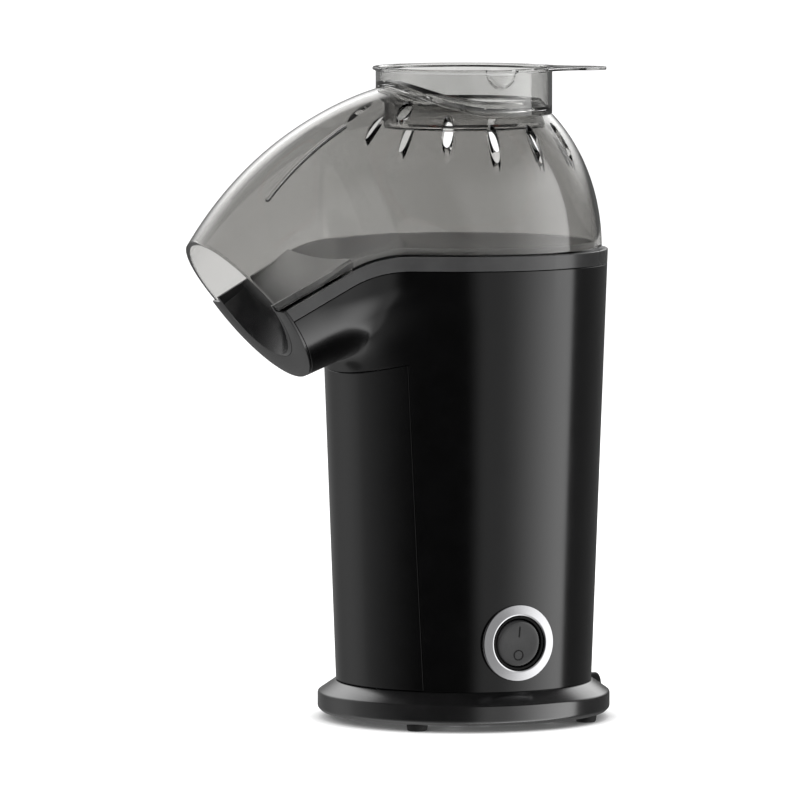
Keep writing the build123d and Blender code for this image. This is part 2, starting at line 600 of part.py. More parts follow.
def make_popping_chamber():
    """Deep-drawn cup with a rolled flange, a domed bottom and slanted louvres low in its wall."""
    top = chamber_top_z
    inner = CHAMBER_R - CHAMBER_T
    cup = turned([
        (0, CHAMBER_LOW_Z + 3), (CHAMBER_R - 12, CHAMBER_LOW_Z), (CHAMBER_R - 6, CHAMBER_LOW_Z),
        (CHAMBER_R, CHAMBER_LOW_Z + 6), (CHAMBER_R, top - CHAMBER_T), (CHAMBER_FLANGE_R, top - CHAMBER_T),
        (CHAMBER_FLANGE_R, top), (inner, top), (inner, CHAMBER_LOW_Z + 6.4),
        (CHAMBER_R - 6.4, CHAMBER_LOW_Z + CHAMBER_T), (CHAMBER_R - 12, CHAMBER_LOW_Z + CHAMBER_T),
        (0, CHAMBER_LOW_Z + 3 + CHAMBER_T)])
    for step in range(LOUVRE_COUNT):
        slit = Pos(0, -CHAMBER_R, CHAMBER_LOW_Z + 15) * Rot(0, 30, 0) * Box(1.6, 8, 13)
        cup -= Rot(0, 0, 360 * step / LOUVRE_COUNT) * slit
    return cup


def make_mica_frame():
    """Two crossed mica plates with hollow sides, which the heating wire is wound round."""
    half = JACKET_R - JACKET_T - 0.3
    frame = None
    for turn in (0, 90):
        plate = Pos(0, 0, MICA_LOW_Z) * Box(2 * half, MICA_T, MICA_H, align=LOW)
        for side in (-1, 1):
            hollow = Box(half - COIL_HALF, 4, MICA_H - 5, align=(Align.CENTER, Align.CENTER, Align.CENTER))
            plate -= Pos(side * (half + COIL_HALF) / 2, 0, MICA_LOW_Z + MICA_H / 2) * hollow
        plate = Rot(0, 0, turn) * plate
        frame = plate if frame is None else frame + plate
    return frame


def make_heating_coil():
    """Resistance wire, wound round the four plate edges as a square helix."""
    radius = COIL_HALF + 1.5 * COIL_WIRE_R + MICA_T / 2
    low = MICA_LOW_Z + (MICA_H - COIL_TURNS * COIL_PITCH) / 2
    corners = []
    for step in range(4 * COIL_TURNS + 1):
        x, y, _ = polar(radius, 90 * step)
        corners.append((x, y, low + COIL_PITCH * step / 4))
    path = Polyline(*corners)
    start = Plane(origin=corners[0], z_dir=path % 0)
    return sweep(start * RegularPolygon(COIL_WIRE_R, 8), path, transition=Transition.RIGHT)


def make_switch_body():
    """Round switch barrel with a cavity for the rocker, a retaining collar and three terminals."""
    front = switch_face_x - 0.8
    barrel = rod((front - BARREL_LENGTH, 0, SWITCH_Z), (1, 0, 0), BARREL_R, BARREL_LENGTH)
    barrel += rod((seat_x - 4.8, 0, SWITCH_Z), (1, 0, 0), BARREL_R + 2.3, 2.3)
    barrel -= rod((front - 11, 0, SWITCH_Z), (1, 0, 0), CAVITY_R, 20)
    barrel -= rod((pivot_x, -BARREL_R + 0.3, SWITCH_Z), (0, 1, 0), TRUNNION_R + RUN_GAP, 2 * BARREL_R - 0.6)
    for y in (-6.0, 0.0, 6.0):
        blade = Box(8, 0.8, 4.8, align=(Align.MAX, Align.CENTER, Align.CENTER))
        barrel += Pos(front - BARREL_LENGTH + 0.5, y, SWITCH_Z) * blade
    return barrel


def make_switch_rocker():
    """Round rocker with a hollow two-faced front and a trunnion. It rests with its lower half in."""
    half = ROCKER_R
    outline = Polyline((-2.5, -half), (2.9, -half), (2.2, 0), (2.9, half), (-2.5, half), close=True)
    slab_shape = extrude(Plane.XZ * make_face(outline), half + 1, both=True)
    cap = slab_shape & rod((-5, 0, 0), (1, 0, 0), ROCKER_R, 12)
    cap += rod((0, -BARREL_R + 0.5, 0), (0, 1, 0), TRUNNION_R, 2 * BARREL_R - 1.0)
    cap += Pos(-4, 0, 0) * Box(4, 5, 4)
    return Pos(pivot_x, 0, SWITCH_Z) * Rot(0, ROCKER_TILT, 0) * cap


def make_cord_gland():
    """Bushing in the base ring's rear wall, with a collar inside and a straight bore."""
    start = GLAND_TIP - GLAND_LENGTH
    gland = rod((0, start, GLAND_Z), (0, 1, 0), GLAND_R, GLAND_LENGTH)
    gland += rod((0, start, GLAND_Z), (0, 1, 0), GLAND_R + 1.0, 3.1)
    return gland - rod((0, start - 1, GLAND_Z), (0, 1, 0), GLAND_BORE_R, GLAND_LENGTH + 2)


def screw(x, y, tip_z, head_z, radius, head_r, up):
    """Upright screw from its tip to the underside of its head. up is 1 for a head on top, else -1."""
    low = min(tip_z, head_z)
    shank = extrude(Pos(x, y, low) * RegularPolygon(radius, 10), abs(tip_z - head_z))
    head_low = head_z if up > 0 else head_z - SCREW_HEAD_H
    return shank + extrude(Pos(x, y, head_low) * RegularPolygon(head_r, 10), SCREW_HEAD_H)


def screw_group(places, *sizes):
    """Equal screws at several places, as separate solids."""
    return Compound([screw(x, y, *sizes) for x, y, _ in places])


column_low_z = BODY_BOTTOM_Z + 3.3
cover_step_z = FOOT_H + 4.4
switch_face_x = body_r(SWITCH_Z) + SWITCH_PROUD
seat_x = switch_face_x - SWITCH_RING_T
pivot_x = switch_face_x - 4.2
flange_r = DUCT_R + 5.0
motor_boss_r = 5.2
motor_screw_x = 11.0
shaft_low_z = MOTOR_LOW_Z + 22
ring_front = FLANGE_T + SEAM
outer_form = body_form(0.0, ring_front)
inner_form = body_form(SHELL_WALL, -6.0)
column_places = [polar(COLUMN_CIRCLE_R, angle) for angle in COLUMN_ANGLES]
chamber_top_z = FUNNEL_FLOOR_Z - GASKET_T

parts = {}
parts["base_ring"] = make_base_ring()
for place, angle in foot_angles.items():
    parts[f"foot_{place}"] = make_foot(angle)
parts["bottom_cover"] = make_bottom_cover()
parts["cord_gland"] = make_cord_gland()
parts["housing"] = make_housing()
parts["front_cover"] = make_front_cover()
parts["top_bezel"] = make_top_bezel()
parts["chute_liner"] = make_chute_liner()
parts["lid"] = make_lid()
parts["measuring_cup"] = make_measuring_cup()
parts["fan_housing"] = make_fan_housing()
parts["motor_body"] = make_motor_body()
parts["motor_shaft"] = post(SHAFT_R, shaft_low_z, SHAFT_TOP_Z)
parts["fan_impeller"] = make_fan_impeller()
board = post(MOTOR_R - 4, MOTOR_LOW_Z - 1.8, MOTOR_LOW_Z - 0.2)
for x in (-7.5, -2.5, 2.5, 7.5):
    board += Pos(x, 0, MOTOR_LOW_Z - 3.0) * Box(2.8, 7, 2.8)
parts["rectifier_board"] = board
parts["heat_jacket"] = make_heat_jacket()
parts["popping_chamber"] = make_popping_chamber()
parts["chamber_gasket"] = tube(CHAMBER_FLANGE_R, CHAMBER_R, chamber_top_z + 0.1, FUNNEL_FLOOR_Z - 0.1)
parts["mica_frame"] = make_mica_frame()
parts["heating_coil"] = make_heating_coil()
stat_z = CHAMBER_LOW_Z + 2
parts["thermostat"] = Rot(0, 0, 150) * rod((0, -JACKET_R - 0.1, stat_z), (0, -1, 0), 8.0, 5.0)
fuse_x, fuse_y, _ = polar(JACKET_R + 2.1, 210)
parts["thermal_fuse"] = post(2.0, stat_z - 7, stat_z + 7, fuse_x, fuse_y)
parts["switch_ring"] = rod((seat_x, 0, SWITCH_Z), (1, 0, 0), SWITCH_RING_R, SWITCH_RING_T) - rod(
    (seat_x - 1, 0, SWITCH_Z), (1, 0, 0), SWITCH_BORE_R, SWITCH_RING_T + 2)
parts["switch_body"] = make_switch_body()
parts["switch_rocker"] = make_switch_rocker()
parts["case_screws"] = screw_group(column_places, column_low_z + 13, cover_step_z - 2.0, SCREW_R, SCREW_HEAD_R, -1)
parts["fan_housing_screws"] = screw_group(column_places, COLUMN_TOP_Z - 12, DUCT_LOW_Z + 3.6, SCREW_R, 2.6, 1)
motor_places = [(-motor_screw_x, 0, 0), (motor_screw_x, 0, 0)]
parts["motor_screws"] = screw_group(motor_places, DUCT_LOW_Z - 6, DUCT_LOW_Z + 2.6, SCREW_R, 2.6, 1)

os.makedirs("parts", exist_ok=True)
for name, solid in parts.items():
    export_step(solid, f"parts/{name}.step")
    print(name, len(solid.solids()), round(solid.volume), [round(v, 1) for v in solid.bounding_box().size])
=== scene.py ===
import json
import math

import bmesh
import bpy
import numpy as np
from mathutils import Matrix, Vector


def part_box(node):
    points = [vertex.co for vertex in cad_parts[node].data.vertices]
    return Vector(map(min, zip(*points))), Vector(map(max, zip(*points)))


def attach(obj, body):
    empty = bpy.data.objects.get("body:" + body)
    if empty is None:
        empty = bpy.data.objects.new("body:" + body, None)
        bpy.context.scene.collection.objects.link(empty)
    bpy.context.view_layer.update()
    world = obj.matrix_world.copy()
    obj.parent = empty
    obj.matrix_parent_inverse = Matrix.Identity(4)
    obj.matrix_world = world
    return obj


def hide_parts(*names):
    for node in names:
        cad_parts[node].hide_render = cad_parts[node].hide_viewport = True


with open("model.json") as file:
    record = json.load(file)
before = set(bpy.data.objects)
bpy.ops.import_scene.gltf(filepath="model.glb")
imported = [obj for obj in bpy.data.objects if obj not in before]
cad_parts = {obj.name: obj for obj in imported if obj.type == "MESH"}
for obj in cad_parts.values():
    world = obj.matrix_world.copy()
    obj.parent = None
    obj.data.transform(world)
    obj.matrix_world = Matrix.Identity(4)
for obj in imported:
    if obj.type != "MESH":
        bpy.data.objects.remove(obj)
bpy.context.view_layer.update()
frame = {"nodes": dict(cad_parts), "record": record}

# Hot-air popcorn maker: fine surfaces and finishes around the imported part.
# Lengths in the shape functions are millimetres and angles are degrees. Meshes are metres.
# "s" is the distance in front of the body's axis (s = -y). The spout points towards -Y and the
# switch towards +X. Angles about the axis are counted from the spout towards the switch.

MM = 0.001


def span(node, axis):
    """Lowest and highest coordinate of a CAD node along an axis, in millimetres."""
    low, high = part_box(node)
    return low[axis] / MM, high[axis] / MM


# ---- Sizes ----
MIDDLE = (0, 0, 100.0)
PARTING_Z = span("top_bezel", 2)[1]
BODY_LOW_Z = span("housing", 2)[0]
BASE_R = span("base_ring", 0)[1]
BASE_LOW_Z = span("base_ring", 2)[0]
CUP_LOW_Z, CUP_TOP_Z = span("measuring_cup", 2)
LID_R = span("lid", 0)[1]
SWITCH_FACE_X = span("switch_ring", 0)[1]
SWITCH_R = span("switch_ring", 1)[1]
SWITCH_Z = sum(span("switch_ring", 2)) / 2
# Body, front cover and band
BODY_LOW_R = 58.9
BODY_DRAFT = 2.11
SEAM = 0.2
SHELL_WALL = 2.2
COVER_HALF_W = 43.5
COVER_TOP_Z = 161.5
COVER_CORNER_Z = 167.0
COVER_ROUND = 0.45
BAND = 6.6
BAND_INSET = 4.0
LEDGE_DROP, LEDGE_UNDER = 1.4, 2.6
FRONT_ANGLE, SIDE_ANGLE = 25, 76.0
# Parting line and spout
BEND_S = 48.0
BEND_R = 58.0
SPOUT_SLOPE = 28.0
SPOUT_REACH = 107.8
SPOUT_LEAN = 36.8
SPOUT_HALF_W = 42.0
SPOUT_DEPTH = 40.8
SPOUT_WIDENING = 0.045
SPOUT_DEEPENING = 0.12
SPOUT_CORE = np.array([0, -46.0, 200.0])
FLARE_START, FLARE_SCALE, FLARE_POWER = 12, 0.0141, 1.9
TROUGH_SIDE = 0.05
CHANNEL_HALF_W = 32.0
CHANNEL_DEPTH = 28.5
RAMP_WALL = 1.8
FLANGE_T = 1.2
FLANGE_ROUND = 0.4
# Funnel
WEIR_S = 72.0
WEIR_RISE = 2.0
WEIR_CURVE = 0.8
LIP_RISE = 3.5
LIP_ROUND = 0.9
FUNNEL_INSET = 3.4
FUNNEL_FLOOR_Z = 208.6
FLOOR_ROUND = 1.5
CHAMBER_MOUTH_R = 45.2
# Lid
RIDGE_R = 158.1
RIDGE_Z = 296.5
HOOD_LEAN = 41.5
HOOD_HALF_W = 37.0
HOOD_TAPER = 0.11
LID_WALL = 2.0
LID_FOOT = 0.85
LID_HOLE_R = 37.1
ABOVE_LID = 310
RIB_BACK = (18.5, 67.1)
RIB_FRONT = (22.0, 108.3)
RIB_HALF_W = 1.2
RIB_H = 1.7
SLOTS = 13
SLOT_STEP = 24.6
SLOT_R, SLOT_LENGTH, SLOT_W = 49.0, 11.0, 5.0
# Cup
CUP_R = 40.55
CUP_PLUG_R = 36.6
CUP_FLANGE_R = 42.0
CUP_WALL = 1.7
CUP_GAP = 0.25
POUR_ANGLE = 91.0
POUR_HALF_W, POUR_DEPTH, POUR_OUT = 7.4, 8.4, 3.4
HANDLE_ANGLE = 157.0
HANDLE_ROOT, HANDLE_END, HANDLE_ROUND = 38.0, 52.0, 13.4
# Rocker
PIVOT_X = 57.415
ROCKER_TILT = 6.0
ROCKER_R = 10.7
ROCKER_LIFT = 3.4
SIGN_T = 0.22


def sin(angle):
    """Sine of an angle in degrees."""
    return np.sin(np.radians(angle))


def cos(angle):
    """Cosine of an angle in degrees."""
    return np.cos(np.radians(angle))


def ease(value, low, high):
    """Smooth rise from 0 at the low value to 1 at the high one."""
    share = np.clip((value - low) / (high - low), 0, 1)
    return share * share * (3 - 2 * share)


def point(x, y, z):
    """Array of points from coordinates of any matching shapes."""
    return np.stack(np.broadcast_arrays(*(np.asarray(k, float) for k in (x, y, z))), axis=-1)


def polar(radius, angle, z, across=0.0):
    """Points from their distance out from the body's axis at an angle, height, and distance across
    that direction."""
    return point(radius * sin(angle) + across * cos(angle),
                 -radius * cos(angle) + across * sin(angle), z)


def full_turn(steps):
    """Column of angles once round, from 0 to 360."""
    return np.linspace(0, 360, steps + 1)[:, None]


def unit(vectors):
    """Vectors brought to a length of 1."""
    return vectors / np.maximum(np.linalg.norm(vectors, axis=-1, keepdims=True), 1e-9)


def power(value, exponent):
    """Power that keeps the sign of its value."""
    return np.sign(value) * np.abs(value) ** exponent


# ---- Forms ----
BEND_END_S = BEND_S + BEND_R * sin(SPOUT_SLOPE)
BEND_END_Z = PARTING_Z - BEND_R * (1 - cos(SPOUT_SLOPE))
FACE_Z = BEND_END_Z - (SPOUT_REACH - BEND_END_S) * math.tan(math.radians(SPOUT_SLOPE))
FACE_NORMAL = np.array([0, -cos(SPOUT_LEAN), -sin(SPOUT_LEAN)])
FACE_UP = np.array([0, -sin(SPOUT_LEAN), cos(SPOUT_LEAN)])
SPOUT_BACK = np.array([0, cos(SPOUT_SLOPE), sin(SPOUT_SLOPE)])
FACE_ORIGIN = np.array([0, -SPOUT_REACH, FACE_Z])
FAN_Z = FACE_Z - SPOUT_REACH / math.tan(math.radians(HOOD_LEAN))
DOME_H = RIDGE_Z - PARTING_Z


def body_r(z):
    """Radius of the body: grows with height at a fixed draft."""
    return BODY_LOW_R + (z - BODY_LOW_Z) * math.tan(math.radians(BODY_DRAFT))


def parting_z(s):
    """Height of the parting line: level, then an arc downwards, then a straight slope."""
    arc = PARTING_Z - BEND_R + np.sqrt(np.maximum(BEND_R**2 - (s - BEND_S) ** 2, 1))
    slope = BEND_END_Z - (s - BEND_END_S) * math.tan(math.radians(SPOUT_SLOPE))
    return np.where(s <= BEND_S, PARTING_Z, np.where(s <= BEND_END_S, arc, slope))


def spout_coordinates(p):
    """Distance behind the spout's face along the spout, and height up the leaning face."""
    back = (p - FACE_ORIGIN) @ FACE_NORMAL / (SPOUT_BACK @ FACE_NORMAL)
    up = (p - FACE_ORIGIN - back[..., None] * SPOUT_BACK) @ FACE_UP
    return back, up


def spout_point(x, up, back):
    """Point of the spout from its width, height up the leaning face and distance behind it."""
    x, up, back = np.broadcast_arrays(np.asarray(x, float), up, back)
    p = FACE_ORIGIN + up[..., None] * FACE_UP + back[..., None] * SPOUT_BACK
    return p + x[..., None] * np.array([1, 0, 0])


def trough_circle(half_w, depth):
    """Radius and centre height of the round bottom through both sides and the deepest point. The
    topmost part of the depth is left to the upright sides."""
    rise = (1 - TROUGH_SIDE) * depth
    radius = (half_w**2 + rise**2) / (2 * rise)
    return radius, radius - depth


def soft_join(a, b, reach):
    """Union of two forms given as distances. Where they differ by less than the reach, the corner
    between them is filled by the cube of what is left of it, which leaves no line at its ends."""
    near = np.maximum(reach - np.abs(a - b), 0) / reach
    return np.minimum(a, b) - near**3 * reach / 6


def outside_body(p, trough=True):
    """Signed distance to the body with its spout: a cone joined to a prism with leaning ends, whose
    underside is a round trough that widens towards the body. The trough's edges soften towards
    the body, and the hollow rounding to the cone grows from the middle towards the sides."""
    back, up = spout_coordinates(p)
    aside = np.abs(p[..., 0])
    cone = np.hypot(p[..., 0], p[..., 1]) - body_r(p[..., 2])
    half_w = SPOUT_HALF_W + SPOUT_WIDENING * back
    spout = np.maximum(aside - half_w, p[..., 1])
    if trough:
        wide = half_w + FLARE_SCALE * np.maximum(back - FLARE_START, 0) ** FLARE_POWER
        radius, centre = trough_circle(wide, SPOUT_DEPTH + SPOUT_DEEPENING * back)
        under = np.hypot(p[..., 0], np.minimum(up - centre, 0)) - radius
        edge_reach = 1.0 + 17.0 * ease(back, 8, 45) * ease(-up, 8, 24)
        spout = -soft_join(-spout, -under, edge_reach)
    cone_reach = 3.5 + 21.0 * ease(aside, 10, 38)
    return soft_join(cone, spout, cone_reach)


def halving(value, low, high):
    """Where an increasing array function is zero, found by halving the span forty times."""
    for _ in range(40):
        middle = (low + high) / 2
        above = value(middle) > 0
        high = np.where(above, middle, high)
        low = np.where(above, low, middle)
    return (low + high) / 2


def cast(start, heading, outside, far=200):
    """Points where lines from inside a form leave it."""
    heading = unit(heading)
    zero = np.zeros(heading.shape[:-1])
    reach = halving(lambda r: outside(start + r[..., None] * heading), zero, zero + far)
    return start + reach[..., None] * heading


def even(points, count):
    """Points spaced evenly by length along a fine line of points."""
    steps = np.linalg.norm(np.diff(points, axis=0), axis=1)
    along = np.concatenate([[0], np.cumsum(steps)])
    wanted = np.linspace(0, along[-1], count)
    return np.stack([np.interp(wanted, along, points[:, k]) for k in range(3)], axis=1)


# ---- Meshes ----
WELD = 2e-6
MIRROR = np.array([-1, 1, 1])
SMOOTH_ANGLE = 35


def grid_faces(rows, columns):
    """Four-cornered faces between neighbours on a grid."""
    index = np.arange(rows * columns).reshape(rows, columns)
    a, b, c, d = index[:-1, :-1], index[1:, :-1], index[1:, 1:], index[:-1, 1:]
    return np.stack([a, b, c, d], axis=-1).reshape(-1, 4)


def facing(grid, inside):
    """1 where a grid's faces point away from an inner place on the whole, else -1: the sign of the
    sum of each face's area vector times its offset from that place."""
    a, b, c, d = grid[:-1, :-1], grid[1:, :-1], grid[1:, 1:], grid[:-1, 1:]
    area = np.cross(c - a, d - b)
    return 1 if np.sum(area * ((a + b + c + d) / 4 - inside)) > 0 else -1


def add_object(name, data):
    """New object in the scene."""
    made = bpy.data.objects.new(name, data)
    bpy.context.scene.collection.objects.link(made)
    return made


def surface(name, *grids, inside=MIDDLE):
    """Mesh object from grids of points in millimetres, with faces that point away from an inner
    place. Points that coincide are welded, so that neighbouring grids and poles close."""
    points, faces, count = [], [], 0
    for grid in grids:
        rows, columns = grid.shape[:2]
        faces.append((grid_faces(rows, columns) + count)[:, :: facing(grid, np.array(inside))])
        points.append(grid.reshape(-1, 3))
        count += rows * columns
    points, faces = np.concatenate(points) * MM, np.concatenate(faces).astype(np.int32)
    mesh = bpy.data.meshes.new(name)
    mesh.vertices.add(len(points))
    mesh.vertices.foreach_set("co", points.astype(np.float32).ravel())
    mesh.loops.add(faces.size)
    mesh.loops.foreach_set("vertex_index", faces.ravel())
    mesh.polygons.add(len(faces))
    mesh.polygons.foreach_set("loop_start", np.arange(0, faces.size, 4, dtype=np.int32))
    mesh.update(calc_edges=True)
    joined = bmesh.new()
    joined.from_mesh(mesh)
    bmesh.ops.remove_doubles(joined, verts=joined.verts, dist=WELD)
    joined.to_mesh(mesh)
    joined.free()
    return add_object(name, mesh)


def mesh_points(piece):
    """Points of a piece's mesh in millimetres."""
    points = np.empty(3 * len(piece.data.vertices), np.float32)
    piece.data.vertices.foreach_get("co", points)
    return points.reshape(-1, 3) / MM


def mark(piece, name, values):
    """Writes a number on each of a mesh's points, for its material to read."""
    attribute = piece.data.attributes.new(name, "FLOAT", "POINT")
    attribute.data.foreach_set("value", values.astype(np.float32))


def modify(piece, kind, **settings):
    """Gives a piece a modifier and applies it to the mesh."""
    modifier = piece.modifiers.new(kind, kind)
    for setting, value in settings.items():
        setattr(modifier, setting, value)
    bpy.context.view_layer.update()
    depsgraph = bpy.context.evaluated_depsgraph_get()
    mesh = bpy.data.meshes.new_from_object(piece.evaluated_get(depsgraph))
    piece.modifiers.clear()
    old, piece.data = piece.data, mesh
    bpy.data.meshes.remove(old)
    mesh.name = piece.name
    return piece


def thicken(piece, wall):
    """Gives a sheet its wall on the inner side."""
    return modify(piece, "SOLIDIFY", thickness=wall * MM, offset=-1)


def cut(piece, cutter, operation="DIFFERENCE"):
    """Takes a closed cutter out of a closed piece, or joins it on, and removes the cutter."""
    modify(piece, "BOOLEAN", operation=operation, solver="EXACT", object=cutter)
    bpy.data.objects.remove(cutter)
    return piece


def round_edges(piece, width, angle):
    """Rounds edges sharper than an angle."""
    return modify(piece, "BEVEL", width=width * MM, segments=2, limit_method="ANGLE",
                  angle_limit=math.radians(angle))


def shade(piece):
    """Smooth shading, with hard lines only where faces meet at more than an angle."""
    mesh = piece.data
    mesh.polygons.foreach_set("use_smooth", np.ones(len(mesh.polygons), bool))
    mesh.set_sharp_from_angle(angle=math.radians(SMOOTH_ANGLE))
    return piece


def both_sides(grid):
    """Grid whose first index runs round one side to the middle line, continued round the other
    side by mirroring x."""
    grid = grid.copy()
    grid[-1, ..., 0] = 0
    return np.concatenate([grid, grid[-2::-1] * MIRROR])


def cap(section):
    """Closes a flat or nearly flat ring of points with a fan from its middle."""
    return np.stack([section, 0 * section + section[:-1].mean(axis=0)])


def closed(grid):
    """Grid whose second index comes back to its start."""
    return np.concatenate([grid, grid[:, :1]], axis=1)


def face_normals(grid):
    """Unit normals of a grid of points, from the differences along both directions."""
    return unit(np.cross(np.gradient(grid, axis=0), np.gradient(grid, axis=1)))


def rolled(grid, radius, drop, inside=MIDDLE, low=True):
    """Rounds the ends of the second direction inwards: each end follows a quarter circle of the
    radius that starts on the surface, and then drops inwards."""
    normals = face_normals(grid) * facing(grid, np.array(inside))
    turns = np.linspace(0, 90, 5)[1:]

    def end(edge, before, normal):
        out = edge - before
        out = unit(out - np.sum(out * normal, axis=-1, keepdims=True) * normal)
        start = edge - radius * out
        rows = [start + radius * (sin(t) * out - (1 - cos(t)) * normal) for t in turns]
        rows.append(rows[-1] - (drop - radius) * normal)
        return start, np.stack(rows, axis=1)

    grid = grid.copy()
    grid[:, -1], rows = end(grid[:, -1], grid[:, -2], normals[:, -1])
    parts = [grid, rows]
    if low:
        grid[:, 0], rows = end(grid[:, 0], grid[:, 1], normals[:, 0])
        parts.insert(0, rows[:, ::-1])
    return np.concatenate(parts, axis=1)


def turned(profile, count):
    """Surface of revolution about the body's axis: a line of (radius, height) carried round."""
    radius, z = np.asarray(profile, float).T
    return polar(radius, full_turn(count), z)


def bar_along(axis, centre_z, profile, count):
    """Turned surface about a level axis: a line of (distance along it, radius) carried round."""
    along, radius = np.asarray(profile, float).T
    turn = full_turn(count)
    aside, z = radius * cos(turn), centre_z + radius * sin(turn)
    return point(along, aside, z) if axis == "x" else point(-aside, along, z)


def soft_line(*knots):
    """Line through knots of (first, second, rounding): each inner corner is rounded by a curve that
    leaves and meets the straight runs at the rounding's distance from the corner."""
    knots = np.array(knots, float)
    points = knots[:, :2]
    line = [points[0]]
    share = np.linspace(0, 1, 5)[:, None]
    for before, corner, after, r in zip(points, points[1:], points[2:], knots[1:, 2]):
        back, ahead = before - corner, after - corner
        a = corner + back * min(r / np.linalg.norm(back), 0.49)
        b = corner + ahead * min(r / np.linalg.norm(ahead), 0.49)
        line.extend((1 - share) ** 2 * a + 2 * share * (1 - share) * corner + share**2 * b)
    line.append(points[-1])
    return np.array(line)


# ---- Housing and front cover ----
def cover_edge_z(x, gap):
    """Height of the cover's top edge: an arc that rises from the middle to the corners."""
    half = COVER_HALF_W + gap
    rise = COVER_CORNER_Z - COVER_TOP_Z
    radius = (half**2 + rise**2) / (2 * rise)
    return COVER_TOP_Z + gap + radius - np.sqrt(radius**2 - x**2)


def on_cone(x, z):
    """Point on the front of the body's cone from its width and height."""
    return point(x, -np.sqrt(body_r(z) ** 2 - x**2), z)


def band_line(drop, turns, front_back):
    """Line on the body's outside that runs a distance under the parting line, from the spout's
    face round one side. It is found along level lines from a point inside the spout."""
    start = np.array([0, -45.0, 0])

    def place(angle, r):
        p = start + polar(r, angle, 0)
        p[..., 2] = parting_z(-p[..., 1]) - drop
        return p

    reach = halving(lambda r: outside_body(place(turns, r), False), 0 * turns, 0 * turns + 130)
    line = place(turns, reach)
    back, _ = spout_coordinates(line)
    corner = np.argmax(back > front_back)
    share = (front_back - back[corner - 1]) / (back[corner] - back[corner - 1])
    first = line[corner - 1] + share * (line[corner] - line[corner - 1])
    return np.vstack([first, line[corner:]])


def u_line(half_w, depth, back, top):
    """U-shaped line across the spout from its lowest point up one side to a height."""
    radius, centre = trough_circle(half_w, depth)
    turn = np.linspace(0, 90, 400)
    x, up = radius * sin(turn), centre - radius * cos(turn)
    keep = up < top
    x, up = np.append(np.minimum(x[keep], half_w), half_w), np.append(up[keep], top)
    return spout_point(x, up, back)


def housing_half():
    """Grids of the housing's skin on the switch's side. The upper grid runs from the front cover's
    top edge and a level line up to the spout's face and the band: lines from a point inside the
    spout are cast onto the body's form. The lower grid is the cone behind the cover's side edge."""
    back = FLANGE_T + SEAM
    cover_half_w, corner_z = COVER_HALF_W + SEAM, COVER_CORNER_Z + SEAM
    edge_angle = math.degrees(math.asin(cover_half_w / body_r(corner_z)))
    seam = band_line(BAND + SEAM, np.linspace(FRONT_ANGLE, 180, 4000), back)
    angle = np.degrees(np.arctan2(seam[:, 0], -seam[:, 1]))
    side = np.argmax(angle > SIDE_ANGLE)
    _, corner_up = spout_coordinates(seam[:1])
    mouth_half_w = SPOUT_HALF_W + SPOUT_WIDENING * back
    mouth_depth = SPOUT_DEPTH + SPOUT_DEEPENING * back
    mouth = even(u_line(mouth_half_w, mouth_depth, back, corner_up[0]), 80)
    seam_turns = np.linspace(edge_angle, SIDE_ANGLE, 70)
    rear_turns = np.linspace(SIDE_ANGLE, 180, 80)[1:]
    turns = np.concatenate([seam_turns, rear_turns])
    wall = polar(body_r(corner_z), turns, corner_z)
    x = np.linspace(0, cover_half_w, 80)
    low = np.concatenate([on_cone(x, cover_edge_z(x, SEAM)), wall[1:]])
    angle, rear = angle[side - 1:], seam[side - 1:]
    rear = np.stack([np.interp(rear_turns, angle, rear[:, k]) for k in range(3)], axis=1)
    high = np.concatenate([mouth, even(seam[:side], 70)[1:], rear])
    share = np.linspace(0, 1, 90)[:, None]
    line = low[:, None] + (high - low)[:, None] * share
    upper = cast(SPOUT_CORE, line - SPOUT_CORE, outside_body)
    upper[:, 0] = low
    z = np.linspace(BODY_LOW_Z + 0.1, corner_z, 50)
    edge = np.degrees(np.arcsin(cover_half_w / body_r(z)))
    share = (turns[:, None] - edge_angle) / (180 - edge_angle)
    lower = polar(body_r(z), edge + share * (180 - edge), z)
    lower[:, -1] = wall
    return upper, lower


def make_housing():
    """Skin of the housing with its wall and the round hole for the switch."""
    upper, lower = housing_half()
    upper = rolled(upper, 0.3, 0.8, low=False, inside=SPOUT_CORE)
    upper[0, :, 0] = 0
    piece = thicken(surface("housing_skin", both_sides(upper), both_sides(lower)), SHELL_WALL)
    hole_r = SWITCH_R - 0.9
    hole = bar_along("x", SWITCH_Z, [(40, 0), (40, hole_r), (70, hole_r), (70, 0)], 96)
    return cut(piece, surface("switch_hole", hole))


def make_front_panel():
    """Panel on the body's cone with straight sides and a top edge that rises at the corners."""
    x = np.linspace(-1, 1, 121)[:, None] * COVER_HALF_W
    share = np.linspace(0, 1, 160)
    z = BODY_LOW_Z + SEAM + share * (cover_edge_z(x, 0.0) - BODY_LOW_Z - SEAM)
    grid = on_cone(x, z)
    for _ in range(2):
        grid = np.swapaxes(rolled(grid, COVER_ROUND, 0.6), 0, 1)
    return thicken(surface("front_panel", grid), SHELL_WALL)


# ---- Band, funnel and ramp ----
def rim_line(inset, front_s):
    """Level outline of the lid's rim moved inwards: a circle at the back that runs into two nearly
    straight sides, from a distance in front of the axis round one side to the back."""
    s = np.linspace(front_s, 0, 260)
    line = point(lid_half_w(s) - inset, -s, 0)
    back = polar(LID_R - inset, np.linspace(90, 180, 260), 0)
    line[-1] = back[0]
    return np.concatenate([line, back[1:]])


def lid_half_w(s):
    """Half-width of the lid at its rim: a round body blended into the hood's straight sides."""
    round_part = np.sqrt(np.maximum(LID_R**2 - s**2, 0.0))
    straight_part = HOOD_HALF_W + HOOD_TAPER * (SPOUT_REACH - s)
    return (round_part**16 + straight_part**16) ** (1 / 16)


